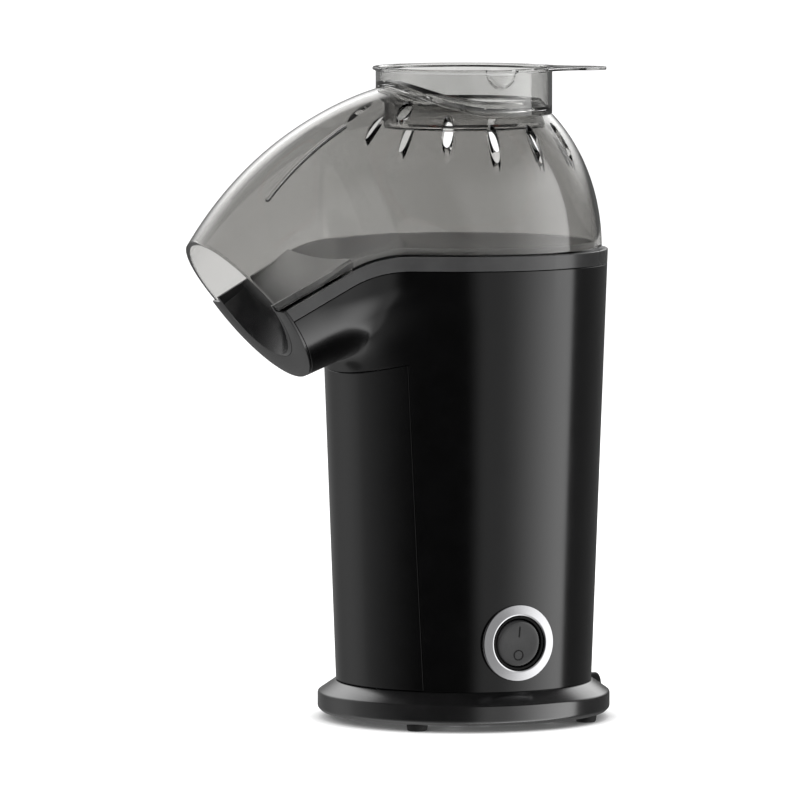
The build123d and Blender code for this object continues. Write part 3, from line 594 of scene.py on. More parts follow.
def make_band():
    """Band along the parting line: outer face on the body's form, and a level ledge on top that
    runs inwards under the lid."""
    turns = np.linspace(FRONT_ANGLE, 180, 3000)
    drops = np.linspace(BAND, 0.0, 9)
    rows = [even(band_line(drop, turns, FLANGE_T + SEAM), 260) for drop in drops]
    face = rolled(np.stack(rows, axis=1), 0.35, 2.0)
    inner = even(rim_line(BAND_INSET, SPOUT_REACH - 6), 260)
    middle = (face[:, -1] + inner) / 2
    rows = []
    for place, down in zip((middle, inner, inner, middle), (LEDGE_DROP,) * 2 + (LEDGE_UNDER,) * 2):
        line = place.copy()
        line[:, 2] = parting_z(-line[:, 1]) - down
        rows.append(line)
    under = face[:, -1] - np.array([0, 0, 1.5])
    grid = np.concatenate([face, np.stack(rows + [under], axis=1)], axis=1)
    grid = both_sides(closed(grid))
    return surface("bezel_band", grid, cap(grid[0]), cap(grid[-1]))


def ramp_grid():
    """Ramp from the spout's mouth up to the weir: straight lines between a U-shaped section in the
    face and a nearly level section at the weir, with sides up to just above the parting line."""
    share = np.linspace(0, 1, 60)[:, None]
    radius, centre = trough_circle(CHANNEL_HALF_W, CHANNEL_DEPTH)
    crest_half_w = lid_half_w(WEIR_S) - LID_WALL - FUNNEL_INSET
    crest_z = parting_z(np.array(WEIR_S)) + WEIR_RISE
    end = TROUGH_SIDE * CHANNEL_DEPTH
    last = np.degrees(np.arccos((centre + end) / radius))
    turn = np.linspace(-last, last, 101)[:, None]
    part = turn / last
    mouth = spout_point(radius * sin(turn), centre - radius * cos(turn), 0)
    crest = point(part * crest_half_w, -WEIR_S, crest_z + WEIR_CURVE * part**2)
    bottom = mouth * (1 - share) + crest * share
    sides = []
    for sign in (-1, 1):
        def side(height):
            low = spout_point(sign * CHANNEL_HALF_W + 0 * height, 60 * height - end, 0)
            high = point(sign * crest_half_w, -WEIR_S, crest_z + WEIR_CURVE + 45 * height)
            return low * (1 - share) + high * share

        def above_lip(height):
            p = side(height)
            return p[..., 2] - parting_z(-p[..., 1]) - LIP_RISE

        top = halving(above_lip, np.full(60, -1.0), np.full(60, 3.0))
        levels = np.linspace(0, 1, 48)[1:, None] * top
        sides.append(np.stack([side(level) for level in levels]))
    return np.concatenate([sides[0][::-1], bottom, sides[1]])


def flange_grid():
    """Flat ring round the mouth: a profile of edge, face and inner edge carried along the U."""
    outer = even(u_line(SPOUT_HALF_W, SPOUT_DEPTH, 0.0, 0.0), 80)
    inner = even(u_line(CHANNEL_HALF_W, CHANNEL_DEPTH, 0.0, 0.0), 80)
    back = FLANGE_T * SPOUT_BACK
    across = unit(inner - outer)
    rounding = [(FLANGE_ROUND * (1 - sin(turn)), FLANGE_ROUND * (1 - cos(turn)))
                for turn in np.linspace(0, 90, 6)]
    rows = [outer + back, *(outer + a * SPOUT_BACK + b * across for a, b in rounding)]
    rows.append((outer + inner) / 2)
    rows += [inner - a * across + b * SPOUT_BACK for a, b in rounding] + [inner + back]
    return both_sides(closed(np.stack(rows, axis=1))[::-1]) * MIRROR


def funnel_half():
    """Funnel on the switch's side: lip round the rim, wall down to the floor, and floor in to the
    chamber's opening. The front runs across as the weir."""
    outline = rim_line(FUNNEL_INSET, WEIR_S)
    across = point(np.linspace(0, outline[0, 0], 40), -WEIR_S, 0)
    path = even(np.vstack([across[:-1], outline]), 240)
    s = -path[:, 1]
    weir = np.clip((s - WEIR_S + 6) / 6, 0, 1) * np.clip((outline[0, 0] - path[:, 0]) / 6, 0, 1)
    lip_z = parting_z(s) + LIP_RISE
    crest_z = parting_z(np.array(WEIR_S)) + WEIR_RISE
    top = lip_z + (crest_z - lip_z) * weir * weir * (3 - 2 * weir) - LIP_ROUND
    inward = -path * np.array([1, 1, 0])
    inward[:, 1] -= 20
    inward = unit(inward)
    inward[:40] = np.array([0, 1.0, 0])
    rows = []

    def row(offset, z):
        p = path + offset * inward
        p[:, 0] = np.maximum(p[:, 0], 0)
        p[:, 2] = z
        rows.append(p)

    row(0.0, PARTING_Z - 11)
    for z in (parting_z(s) + 0.45, parting_z(s) + 0.85, top):
        row(0.0, z)
    for turn in np.linspace(0, 180, 9):
        row(LIP_ROUND - LIP_ROUND * cos(turn), top + LIP_ROUND * sin(turn))
    for turn in np.linspace(0, 90, 5):
        row(2 * LIP_ROUND + FLOOR_ROUND * (1 - cos(turn)),
            FUNNEL_FLOOR_Z + FLOOR_ROUND * (1 - sin(turn)))
    angle = np.degrees(np.arctan2(rows[-1][:, 0], -rows[-1][:, 1]))
    rows.append(polar(CHAMBER_MOUTH_R, angle, FUNNEL_FLOOR_Z))
    rows += [polar(CHAMBER_MOUTH_R - 0.6, angle, FUNNEL_FLOOR_Z - down) for down in (0.8, 2.2)]
    return closed(np.stack(rows, axis=1))


def make_funnel():
    """Funnel with its weir, the ramp down to the mouth, and the flat ring round the mouth. It is
    marked for a painted reflection and light, a paler colour, where its outer and upper faces show
    through the lid, most towards the rear."""
    ramp = ramp_grid()
    under = ramp + face_normals(ramp) * facing(ramp, SPOUT_CORE) * RAMP_WALL
    skin = np.concatenate([ramp, under[::-1], ramp[:1]])
    ends = [np.stack([side[:, end] for side in (ramp, under)]) for end in (0, -1)]
    ring = flange_grid()
    grids = [both_sides(funnel_half()), skin, *ends, ring, cap(ring[0]), cap(ring[-1])]
    piece = surface("funnel_and_ramp", *grids)
    points = mesh_points(piece)
    x, y, z = points.T
    back, _ = spout_coordinates(points)
    inset = np.where(y < 0, lid_half_w(-y) - np.abs(x), LID_R - np.hypot(x, y))
    outer = 1 - ease(inset, 4.2, 4.9)
    # Painted reflection and light: where the dark liner shows through the lid, this mask paints it
    # paler, more towards the rear.
    outer_painted_reflection = outer * ease(z - parting_z(-y), 0.5, 0.8) * ease(back, 1.5, 4)
    painted_reflection = outer_painted_reflection + (1 - outer) * ease(back, 12, 36)
    mark(piece, "painted_reflection", painted_reflection * (0.7 + 0.3 * ease(y, 5, 50)))
    return piece


# ---- Lid ----
def hood_section(tilt):
    """Foot distance, half-width and height of the hood's half ellipse in a plane tilted forwards
    about a line far below the lid. The ridge is an arc seen from the side."""
    s, tangent = 0.0 * tilt, np.tan(np.radians(tilt))
    for _ in range(60):
        s = tangent * (parting_z(s) - FAN_Z)
    base = np.hypot(s, parting_z(s) - FAN_Z)
    rise = RIDGE_Z - RIDGE_R - FAN_Z
    ridge = rise * cos(tilt) + np.sqrt(RIDGE_R**2 - (rise * sin(tilt)) ** 2)
    return s, lid_half_w(s), ridge - base


def lid_point(tilt, turn):
    """Point of the lid's outside. In front, half ellipses stand in planes that fan forwards. At the
    back, the planes fan about a level line through the axis, which makes a half ellipsoid."""
    ahead, behind = np.maximum(tilt, 0), np.minimum(tilt, 0)
    s, half_w, height = hood_section(ahead)
    h = LID_FOOT + (height - LID_FOOT) * sin(turn)
    front = point(half_w * cos(turn), -s - h * sin(ahead), parting_z(s) + h * cos(ahead))
    z = PARTING_Z + LID_FOOT + (DOME_H - LID_FOOT) * sin(turn) * cos(behind)
    rear = point(LID_R * cos(turn), -LID_R * sin(turn) * sin(behind), z)
    return np.where((tilt > 0)[..., None], front, rear)


def make_lid():
    """Clear lid: dome and hood with its wall, the cup's hole, the radial steam slots and the two
    ribs on the hood."""
    tilt = np.concatenate([np.linspace(-90, 0, 91), np.linspace(0, HOOD_LEAN, 100)[1:]])[:, None]
    turn = np.linspace(0, 180, 161)[None, :]
    piece = thicken(surface("clear_lid", lid_point(tilt + 0 * turn, turn + 0 * tilt)), LID_WALL)
    hole = [(0, 250), (LID_HOLE_R, 250), (LID_HOLE_R, ABOVE_LID), (0, ABOVE_LID)]
    slots = [slot_points(180 + SLOT_STEP * (step - SLOTS // 2)) for step in range(SLOTS)]
    cut(piece, surface("lid_cutters", turned(hole, 160), *slots))
    round_edges(piece, 0.5, angle=50)
    return cut(piece, surface("lid_ribs", rib_points(1), rib_points(-1)), "UNION")


def rib_points(side):
    """Raised rib along the hood: a flat ellipse carried along a line on the lid's outside beside
    the ridge, half sunk in it, and drawn in at both ends."""
    share = np.linspace(0, 1, 81)
    x, s = (back + share * (front - back) for back, front in zip(RIB_BACK, RIB_FRONT))
    x, y = side * x, -s
    line = point(x, y, lid_height(x, y))
    along = np.gradient(line, axis=0)
    slope = point(1, 0, (lid_height(x + 0.1, y) - lid_height(x - 0.1, y)) / 0.2)
    out = unit(np.cross(slope, along))
    out *= np.sign(out[:, 2:])
    across = unit(np.cross(along, out))
    turn = full_turn(24)
    ring = RIB_HALF_W * cos(turn) * across[:, None] + RIB_H * sin(turn) * out[:, None]
    taper = np.sqrt(np.maximum(1 - np.abs(2 * share - 1) ** 60, 0))[:, None, None]
    return line[:, None] + taper * ring


def slot_points(angle):
    """Upright closed cutter for a radial slot: a lens with slightly fuller ends than an ellipse."""
    turn = full_turn(48)
    level = np.array([0, 1, 1, 0])
    z = np.array([240, 240, ABOVE_LID, ABOVE_LID])
    radius = SLOT_R + level * SLOT_LENGTH / 2 * power(sin(turn), 0.9)
    return polar(radius, angle, z, level * SLOT_W / 2 * power(cos(turn), 0.9))


def lid_height(x, y):
    """Height of the lid's outside over a place in plan."""
    def section(tilt):
        foot, half_w, height = hood_section(tilt)
        return foot, height * np.sqrt(np.maximum(1 - (x / half_w) ** 2, 0))

    def ahead(tilt):
        foot, h = section(tilt)
        return foot + h * sin(tilt) + y

    tilt = halving(ahead, np.zeros_like(x), np.full_like(x, HOOD_LEAN))
    foot, h = section(tilt)
    front = parting_z(foot) + h * cos(tilt)
    rear = PARTING_Z + DOME_H * np.sqrt(np.maximum(1 - (np.hypot(x, y) / LID_R) ** 2, 0))
    return np.where(y < 0, front, rear)


# ---- Cup ----
def make_cup():
    """Clear cup: a profile of flange, wall, shoulder, plug and floor carried round the axis. The
    shoulder's height follows the lid's outside, and the wall swells out into the pouring lip."""
    turn = full_turn(360)
    low, top, floor_z = CUP_LOW_Z, CUP_TOP_Z, CUP_LOW_Z + CUP_WALL
    wall, plug, flange = CUP_R, CUP_PLUG_R, CUP_FLANGE_R
    wall_in, plug_in = wall - CUP_WALL, plug - CUP_WALL

    def over_lid(radius):
        return lid_height(radius * sin(turn), -radius * cos(turn)) + CUP_GAP

    wall_z, plug_z = over_lid(wall), over_lid(plug)
    wall_in_z, plug_in_z = over_lid(wall_in) + CUP_WALL, over_lid(plug_in) + CUP_WALL
    knots = [
        (0, low), (plug - 1.2, low), (plug - 0.35, low + 0.35), (plug, low + 1.2),
        (plug, plug_z - 0.5), (plug + 0.4, plug_z), (wall - 0.6, wall_z), (wall, wall_z + 0.6),
        (wall, top - 2.0), (wall + 0.3, top - 1.6), (flange - 0.5, top - 1.5),
        (flange, top - 1.1), (flange, top - 0.4), (flange - 0.4, top),
        (wall_in + 0.5, top), (wall_in, top - 0.5), (wall_in, wall_in_z + 0.5),
        (wall_in - 0.5, wall_in_z), (plug_in + 0.3, plug_in_z), (plug_in, plug_in_z - 0.5),
        (plug_in, floor_z + 1.2), (plug_in - 1.2, floor_z), (0, floor_z)]
    columns = []
    for (r0, z0), (r1, z1) in zip(knots, knots[1:]):
        for share in np.linspace(0, 1, 25 if r0 == r1 > plug else 5)[:-1]:
            columns.append((r0 + share * (r1 - r0) + 0 * turn, z0 + share * (z1 - z0) + 0 * turn))
    columns.append((0 * turn, floor_z + 0 * turn))
    radius, z = (np.concatenate(values, axis=1) for values in zip(*columns))
    from_lip = np.radians(turn - POUR_ANGLE) * CUP_R
    bulge = 1 - (from_lip / POUR_HALF_W) ** 2 - ((top - z) / POUR_DEPTH) ** 2
    out = POUR_OUT * np.sqrt(np.maximum(bulge, 0))
    radius = radius + np.where(radius > wall_in - 0.6, out, 0)
    return surface("clear_cup", polar(radius, turn, z), handle_grid())


def handle_grid():
    """Flat tab on the cup's rim: half-widths along its length, from a broad root to a round end,
    closed round a thin section."""
    rounding = HANDLE_ROUND * sin(np.linspace(0, 90, 24))[1:]
    length = np.concatenate([np.linspace(HANDLE_ROOT, HANDLE_END, 30), HANDLE_END + rounding])
    past = np.maximum(length - HANDLE_END, 0)
    tip = np.minimum(np.sqrt(np.maximum(HANDLE_ROUND**2 - past**2, 0.02)), 12.7)
    root = 12.6 + 14.0 * (1 - np.clip((length - HANDLE_ROOT) / 18.0, 0, 1)) ** 2
    half_w = np.where(length < HANDLE_END, root, tip)[:, None]
    turn = full_turn(24).T
    z = CUP_TOP_Z - 0.8 + 0.72 * power(sin(turn), 0.6)
    grid = polar(length[:, None], HANDLE_ANGLE, z, half_w * power(cos(turn), 0.25))
    ends = [0 * end + end.mean(axis=1, keepdims=True) for end in (grid[:1], grid[-1:])]
    return np.concatenate([ends[0], grid, ends[1]])


# ---- Base, feet, gland and switch ----
def make_base():
    """Base skirt turned about the axis: rounded lower edge, upright band, long chamfer and the step
    that the housing stands on."""
    line = soft_line(
        (53.9, 3.3, 0), (BASE_R - 1.9, BASE_LOW_Z, 0.4), (BASE_R, 5.0, 0.8), (BASE_R, 12.2, 0.9),
        (59.6, 17.5, 0.5), (57.8, 17.6, 0.3), (56.2, 17.4, 0.2), (56.2, 14.8, 0.4),
        (63.4, 10.6, 0.8), (64.6, 8.4, 0.4), (64.6, 5.6, 0.4), (54.2, 5.6, 0.3),
        (53.9, 4.4, 0.3), (53.9, 3.3, 0))
    return surface("base_skirt", turned(line, 256))


def make_foot(node):
    """Rubber foot: a low turned pad with a rounded lower edge."""
    low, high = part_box(node)
    x, y = (low[0] + high[0]) / 2 / MM, (low[1] + high[1]) / 2 / MM
    r = (high[0] - low[0]) / 2 / MM
    line = soft_line((0, BASE_LOW_Z, 0), (r, BASE_LOW_Z, 0.3), (r - 0.5, 0, 0.7), (2.2, 0, 0.2),
                     (2.0, 0.5, 0.2), (0, 0.5, 0))
    return surface(node + "_pad", turned(line, 48) + np.array([x, y, 0]))


def make_switch_ring():
    """Ring round the switch: turned about +X with a fine outer edge and a face that rises towards
    the opening. Two more lines on the face keep its shading flat."""
    face, back = SWITCH_FACE_X, SWITCH_FACE_X - 4.1
    outside, inside = np.array([face - 1.0, SWITCH_R - 0.4]), np.array([face, 13.3])
    line = soft_line(
        (back, 12.6, 0), (back, SWITCH_R, 0.2), (face - 1.35, SWITCH_R, 0.2), (*outside, 0.2),
        (*(0.9 * outside + 0.1 * inside), 0), (*(0.1 * outside + 0.9 * inside), 0),
        (*inside, 0.2), (face - 0.3, 12.6, 0.2), (back, 12.5, 0.1), (back, 12.6, 0))
    return surface("switch_bezel", bar_along("x", SWITCH_Z, line, 144))


def rocker_point(out, y, z):
    """Point of the tilted rocker from its distance out from the pivot and its place on the face."""
    x = PIVOT_X + out * cos(ROCKER_TILT) + z * sin(ROCKER_TILT)
    return point(x, y, SWITCH_Z - out * sin(ROCKER_TILT) + z * cos(ROCKER_TILT))


def rocker_hollow(z):
    """Rise of the rocker's face from its middle line towards its two ends."""
    return 0.7 * (np.abs(z) / ROCKER_R) ** 1.4


def make_rocker():
    """Round rocker: a disc whose face is hollowed along a level line between its two halves, then
    tilted about the trunnion with its lower half in."""
    turn = full_turn(96)
    radius = np.array([0, 2, 4, 6, 8, 9.4, 10.0, 10.35, 10.6, ROCKER_R, ROCKER_R, 0])
    edge = np.array([0, 0, 0, 0, 0, 0.02, 0.12, 0.35, 0.8, 1.4, 0, 0])
    y, z = radius * cos(turn), radius * sin(turn)
    out = ROCKER_LIFT + rocker_hollow(z) - edge
    out[:, -2:] = -2.5
    return surface("rocker_face", rocker_point(out, y, z))


def make_sign(kind):
    """Generic on or off sign on the rocker, raised a little: a short upright bar, or a ring."""
    if kind == "on":
        turn, share, raised = full_turn(24), np.array([0, 1, 1, 0]), np.array([0, 0, 1, 1])
        y = 0.3 * power(cos(turn), 0.4) * share
        z = 5.6 + 2.6 * power(sin(turn), 0.4) * share
    else:
        turn, raised = full_turn(48), np.array([0, 1, 1, 0, 0])
        radius = np.array([1.95, 1.95, 2.45, 2.45, 1.95])
        y, z = radius * cos(turn), -5.2 + radius * sin(turn)
    out = ROCKER_LIFT - 0.05 + rocker_hollow(z) + SIGN_T * raised
    return surface("rocker_" + kind, rocker_point(out, y, z))


def make_gland():
    """Bushing in the base's rear wall: turned about +Y with a rounded mouth."""
    low, high = span("cord_gland", 1)
    line = soft_line((low, 3.4, 0), (low, 6.1, 0.3), (low + 3.1, 6.1, 0.3), (low + 3.1, 5.2, 0.3),
                     (high, 5.2, 0.8), (high, 3.4, 0.8), (low, 3.4, 0))
    centre_z = sum(span("cord_gland", 2)) / 2
    return surface("cord_bushing", bar_along("y", centre_z, line, 64))


# ---- Finishes ----
WHITE = (1, 1, 1, 1)
PATTERN_LOW, PATTERN_HIGH = 0.3, 0.7


def feed(tree, socket, value):
    """Sets a socket to a value, or links it to another node's output."""
    if isinstance(value, bpy.types.NodeSocket):
        tree.links.new(value, socket)
    else:
        socket.default_value = value


def add_node(tree, kind, inputs=None, **settings):
    """New shader node with its settings and inputs."""
    made = tree.nodes.new("ShaderNode" + kind)
    for setting, value in settings.items():
        setattr(made, setting, value)
    for socket, value in (inputs or {}).items():
        feed(tree, made.inputs[socket], value)
    return made


def calculate(tree, operation, *values):
    """Result of a math node."""
    made = add_node(tree, "Math", dict(enumerate(values)), operation=operation)
    return made.outputs["Value"]


def smooth_rise(tree, source, low, high, top=1.0):
    """Smooth rise from 0 at a low value of the source to the top at a high one."""
    inputs = {"Value": source, "From Min": low, "From Max": high, "To Max": top}
    made = add_node(tree, "MapRange", inputs, interpolation_type="SMOOTHSTEP")
    return made.outputs["Result"]


def blend(tree, share, first, second):
    """Colour between two by a share."""
    made = add_node(tree, "Mix", {"Factor": share, "A": first, "B": second}, data_type="RGBA")
    return made.outputs["Result"]


def choose(tree, share, first, second, output):
    """Sends one of two shaders on to the tree's output: the second where the share is 1."""
    made = add_node(tree, "MixShader", {"Fac": share, 1: first, 2: second})
    feed(tree, tree.nodes[output].inputs["Surface"], made.outputs["Shader"])


def finish(name, colour, roughness, **sockets):
    """New material with a principled shader, and its node tree and shader."""
    material = bpy.data.materials.new(name)
    material.use_nodes = True
    shader = material.node_tree.nodes["Principled BSDF"]
    shader.inputs["Base Color"].default_value = (*colour, 1)
    shader.inputs["Roughness"].default_value = roughness
    for socket, value in sockets.items():
        shader.inputs[socket.replace("_", " ")].default_value = value
    return material, material.node_tree, shader


def grain(tree, scale, detail, stretch=(1, 1, 1)):
    """Noise pattern on the piece's own coordinates, in cells per metre."""
    place = add_node(tree, "TexCoord").outputs["Object"]
    spread = add_node(tree, "Mapping", {"Scale": stretch, "Vector": place}).outputs["Vector"]
    noise = add_node(tree, "TexNoise", {"Scale": scale, "Detail": detail, "Vector": spread})
    return noise.outputs["Fac"]


def vary_roughness(tree, source, shader, low, high):
    """Roughness that runs between two values over a pattern's middle range."""
    made = add_node(tree, "MapRange", {"Value": source, "From Min": PATTERN_LOW,
                    "From Max": PATTERN_HIGH, "To Min": low, "To Max": high})
    feed(tree, shader.inputs["Roughness"], made.outputs["Result"])


def vary_colour(tree, source, shader, dark, light):
    """Colour that runs between two over a pattern's middle range."""
    ramp = add_node(tree, "ValToRGB", {"Fac": source})
    stops = ramp.color_ramp.elements
    for stop, place, colour in zip(stops, (PATTERN_LOW, PATTERN_HIGH), (dark, light)):
        stop.position = place
        stop.color = (*colour, 1)
    feed(tree, shader.inputs["Base Color"], ramp.outputs["Color"])


def relief(tree, source, shader, height, strength=1.0):
    """Bump of a real height in metres from a pattern."""
    bump = add_node(tree, "Bump", {"Strength": strength, "Distance": height, "Height": source})
    feed(tree, shader.inputs["Normal"], bump.outputs["Normal"])


def moulded(name, colour, rough, shine=0.5, cell=2600.0, height=0.00003, variation=0.25):
    """Moulded plastic: faint mottling of colour and gloss, and a fine skin texture."""
    material, tree, shader = finish(name, colour, rough, Specular_IOR_Level=shine)
    broad = grain(tree, 90.0, 4.0)
    dark, light = (tuple(c * level for c in colour) for level in (1 - variation, 1 + variation))
    vary_colour(tree, broad, shader, dark, light)
    vary_roughness(tree, broad, shader, rough * 0.93, rough * 1.07)
    relief(tree, grain(tree, cell, 2.0), shader, height)
    return material


def clear_plastic(name, colour, rough, far_colour, axis, start, end):
    """Clear moulded plastic: a smoky tint that runs to another along an axis of the piece, with
    faint flow marks that bend what is seen through it."""
    material, tree, shader = finish(name, colour, rough, Transmission_Weight=1.0, IOR=1.54)
    flow = grain(tree, 22.0, 1.0)
    place = add_node(tree, "TexCoord").outputs["Object"]
    along = add_node(tree, "SeparateXYZ", {"Vector": place}).outputs[axis]
    share = calculate(tree, "MULTIPLY_ADD", flow, 0.12, smooth_rise(tree, along, start, end))
    tint = blend(tree, share, (*colour, 1), (*far_colour, 1))
    feed(tree, shader.inputs["Base Color"], tint)
    relief(tree, flow, shader, 0.00006, 0.3)
    return material


def plastic_with_painted_reflection(name, colour, painted_reflection, rough):
    """Moulded plastic whose colour runs to a paler one where the piece says so: a painted
    reflection and light.
    """
    material = moulded(name, colour, rough, 0.5, 1100.0, 0.000006)
    tree = material.node_tree
    base = tree.nodes["Principled BSDF"].inputs["Base Color"]
    share = add_node(tree, "Attribute", attribute_name="painted_reflection").outputs["Fac"]
    feed(tree, base, blend(tree, share, base.links[0].from_socket, (*painted_reflection, 1)))
    return material


def metal(name, colour, rough, stretch=(1, 1, 30), cell=900.0):
    """Metal with fine drawn or turned lines and a little uneven gloss."""
    material, tree, shader = finish(name, colour, rough, Metallic=1.0)
    lines = grain(tree, cell, 3.0, stretch)
    vary_colour(tree, lines, shader, tuple(c * 0.9 for c in colour), colour)
    vary_roughness(tree, lines, shader, rough * 0.85, rough * 1.2)
    relief(tree, lines, shader, 0.00001, 0.6)
    return material


finishes = {}
for kind, looks in {
    moulded: {
        "satin_black": ((0.0016, 0.0016, 0.0017), 0.17, 0.5, 1500.0, 0.000006),
        "grey_band": ((0.062, 0.062, 0.0625), 0.24, 0.5, 1800.0, 0.00001, 0.1),
        "inner_black": ((0.014, 0.014, 0.0145), 0.17, 0.5, 1100.0, 0.000006),
        "matte_black": ((0.02, 0.02, 0.02), 0.55),
        "rubber_black": ((0.012, 0.012, 0.012), 0.7, 0.3, 1800.0, 0.00005),
        "heat_plastic": ((0.05, 0.05, 0.05), 0.5),
        "fan_plastic": ((0.08, 0.08, 0.085), 0.45),
        "switch_black": ((0.008, 0.008, 0.0085), 0.24, 0.5, 1800.0, 0.00001),
        "silicone": ((0.45, 0.12, 0.07), 0.6, 0.3),
        "mica": ((0.62, 0.52, 0.36), 0.45, 0.5, 700.0, 0.00006, 0.35),
        "fuse_body": ((0.7, 0.66, 0.58), 0.6, 0.3, 3000.0, 0.00006),
        "board": ((0.03, 0.12, 0.06), 0.35, 0.5, 1200.0),
    },
    clear_plastic: {
        "smoke_clear": ((0.545, 0.54, 0.528), 0.02, (0.46, 0.455, 0.443), "Y", -0.072, -0.022),
        "clear": ((0.93, 0.93, 0.925), 0.015, (0.62, 0.62, 0.61), "Z", 0.272, 0.284),
    },
    metal: {
        "bright_ring": ((0.44, 0.44, 0.45), 0.1, (30, 1, 1)),
        "steel": ((0.55, 0.55, 0.56), 0.3),
        "steel_can": ((0.5, 0.5, 0.51), 0.35),
        "sheet_steel": ((0.6, 0.6, 0.61), 0.38, (1, 1, 1), 120.0),
        "chamber_aluminium": ((0.72, 0.72, 0.73), 0.28, (1, 1, 20), 500.0),
        "thermostat_can": ((0.68, 0.68, 0.69), 0.3),
        "wire": ((0.35, 0.33, 0.31), 0.45),
    },
}.items():
    finishes.update((name, kind(name, *look)) for name, look in looks.items())
node_slot = {part["node"]: part["material_slot"] for part in frame["record"]["subparts"]}
bodies = frame["record"]["behaviour"]["bodies"]
node_body = {node: body for body, nodes in bodies.items() for node in nodes}
for node, cad in frame["nodes"].items():
    cad.data.materials.clear()
    cad.data.materials.append(finishes[node_slot[node]])
# Painted shade: the switch body's black collar is made darker and duller, to read as the shade in
# the gap round the rocker.
collar_look_with_painted_shade = moulded("collar_black_painted_shade", (0.004, 0.004, 0.004), 0.5, 0.15)
frame["nodes"]["switch_body"].data.materials[0] = collar_look_with_painted_shade


def dress(piece, node, look=None):
    """Puts a fine piece in a CAD node's place: its body, slot and finish."""
    shade(piece)
    piece.data.materials.clear()
    piece.data.materials.append(look or finishes[node_slot[node]])
    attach(piece, node_body[node])
    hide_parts(node)


# ---- Pieces ----
# The liner's paler colour where it shows through the lid is a painted reflection and light.
liner_look = plastic_with_painted_reflection("liner_plastic", (0.010, 0.010, 0.0103), (0.58, 0.58, 0.575), 0.17)
# Painted reflection: the black base gets a lighter colour than the body's, standing in for the
# white floor's reflection.
base_look_with_painted_reflection = moulded("base_plastic_painted_reflection", (0.007, 0.007, 0.0072), 0.2, 1.0, 1500.0, 0.000006)
rocker_look = moulded("rocker_plastic", (0.035, 0.035, 0.0355), 0.22, 0.5, 1800.0, 0.00001)
for make, *role in (
        (make_housing, "housing"), (make_front_panel, "front_cover"), (make_band, "top_bezel"),
        (make_funnel, "chute_liner", liner_look), (make_lid, "lid"), (make_cup, "measuring_cup"),
        (make_base, "base_ring", base_look_with_painted_reflection), (make_switch_ring, "switch_ring"),
        (make_rocker, "switch_rocker", rocker_look), (make_gland, "cord_gland")):
    dress(make(), *role)
for foot in ("foot_front_right", "foot_rear_right", "foot_rear_left", "foot_front_left"):
    dress(make_foot(foot), foot)
sign_paint = moulded("sign_paint", (0.004, 0.004, 0.004), 0.6, 0.2)
for kind in ("on", "off"):
    sign = shade(make_sign(kind))
    sign.data.materials.append(sign_paint)
    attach(sign, node_body["switch_rocker"])

# ---- Floor, light and camera ----
VIEW = np.array([0.9135, -0.4067, 0.0])
RIGHT = np.array([0.4067, 0.9135, 0.0])
UP = np.array([0, 0, 1.0])
AIM = np.array([-0.0119, -0.0268, 0.1464])
PITCH = 4.71
DISTANCE = 4.11
SENSOR_W = 36.0
FOCAL_LENGTH = 401.9
FLOOR_HALF_W = 12000.0
FLOOR_Z = -0.05
TENT_R = 5000
ROOM_LIGHT = 0.3


def turn_to(item, heading):
    """Turns a lamp or camera so that it looks along a direction."""
    item.rotation_euler = Vector(heading).to_track_quat("-Z", "Y").to_euler()


def make_floor():
    """Pale floor. To the camera it glows white except where the part shades it."""
    material, tree, shader = finish("studio_floor", (0.5, 0.5, 0.5), 0.9)
    near = add_node(tree, "AmbientOcclusion", {"Distance": 0.010}, samples=6)
    open_share = calculate(tree, "POWER", near.outputs["AO"], 1.3)
    ray = add_node(tree, "LightPath").outputs
    straight = calculate(tree, "MAXIMUM", ray["Is Camera Ray"], ray["Is Transmission Ray"])
    feed(tree, shader.inputs["Emission Color"], WHITE)
    glow = calculate(tree, "MULTIPLY", open_share, straight)
    feed(tree, shader.inputs["Emission Strength"], glow)
    ends = np.array([-FLOOR_HALF_W, FLOOR_HALF_W])
    floor = surface("studio_floor", point(ends[:, None], ends, FLOOR_Z), inside=(0, 0, -9))
    floor.data.materials.append(material)
    floor.visible_glossy = False


def tent_glow(aside, above):
    """Brightness of the light tent by direction, in degrees to the right of the camera and above
    the level: a dark room with a soft panel on the right that ends sharply, a weak one on the left
    and two high panels behind."""
    low_part = 1 - ease(above, 25, 50)
    right = 0.55 * ease(aside, 3, 18) + 2.25 * ease(aside, 28, 90)
    right *= (1 - ease(aside, 97, 100)) * low_part
    left = 0.44 * ease(-aside, 35, 112) * (1 - 0.75 * ease(-aside, 108, 145)) * low_part
    back_left = 2.0 * ease(-aside, 110, 150) * ease(above, 6, 34) * (1 - ease(above, 45, 57))
    back_right = 2.2 * ease(aside, 110, 150) * ease(above, 6, 22) * (1 - ease(above, 32, 44))
    back = 0.10 * ease(np.abs(aside), 97, 100)
    low = 0.4 * ease(-above, 8, 70)
    return 0.03 + right + left + back_left + back_right + back + low


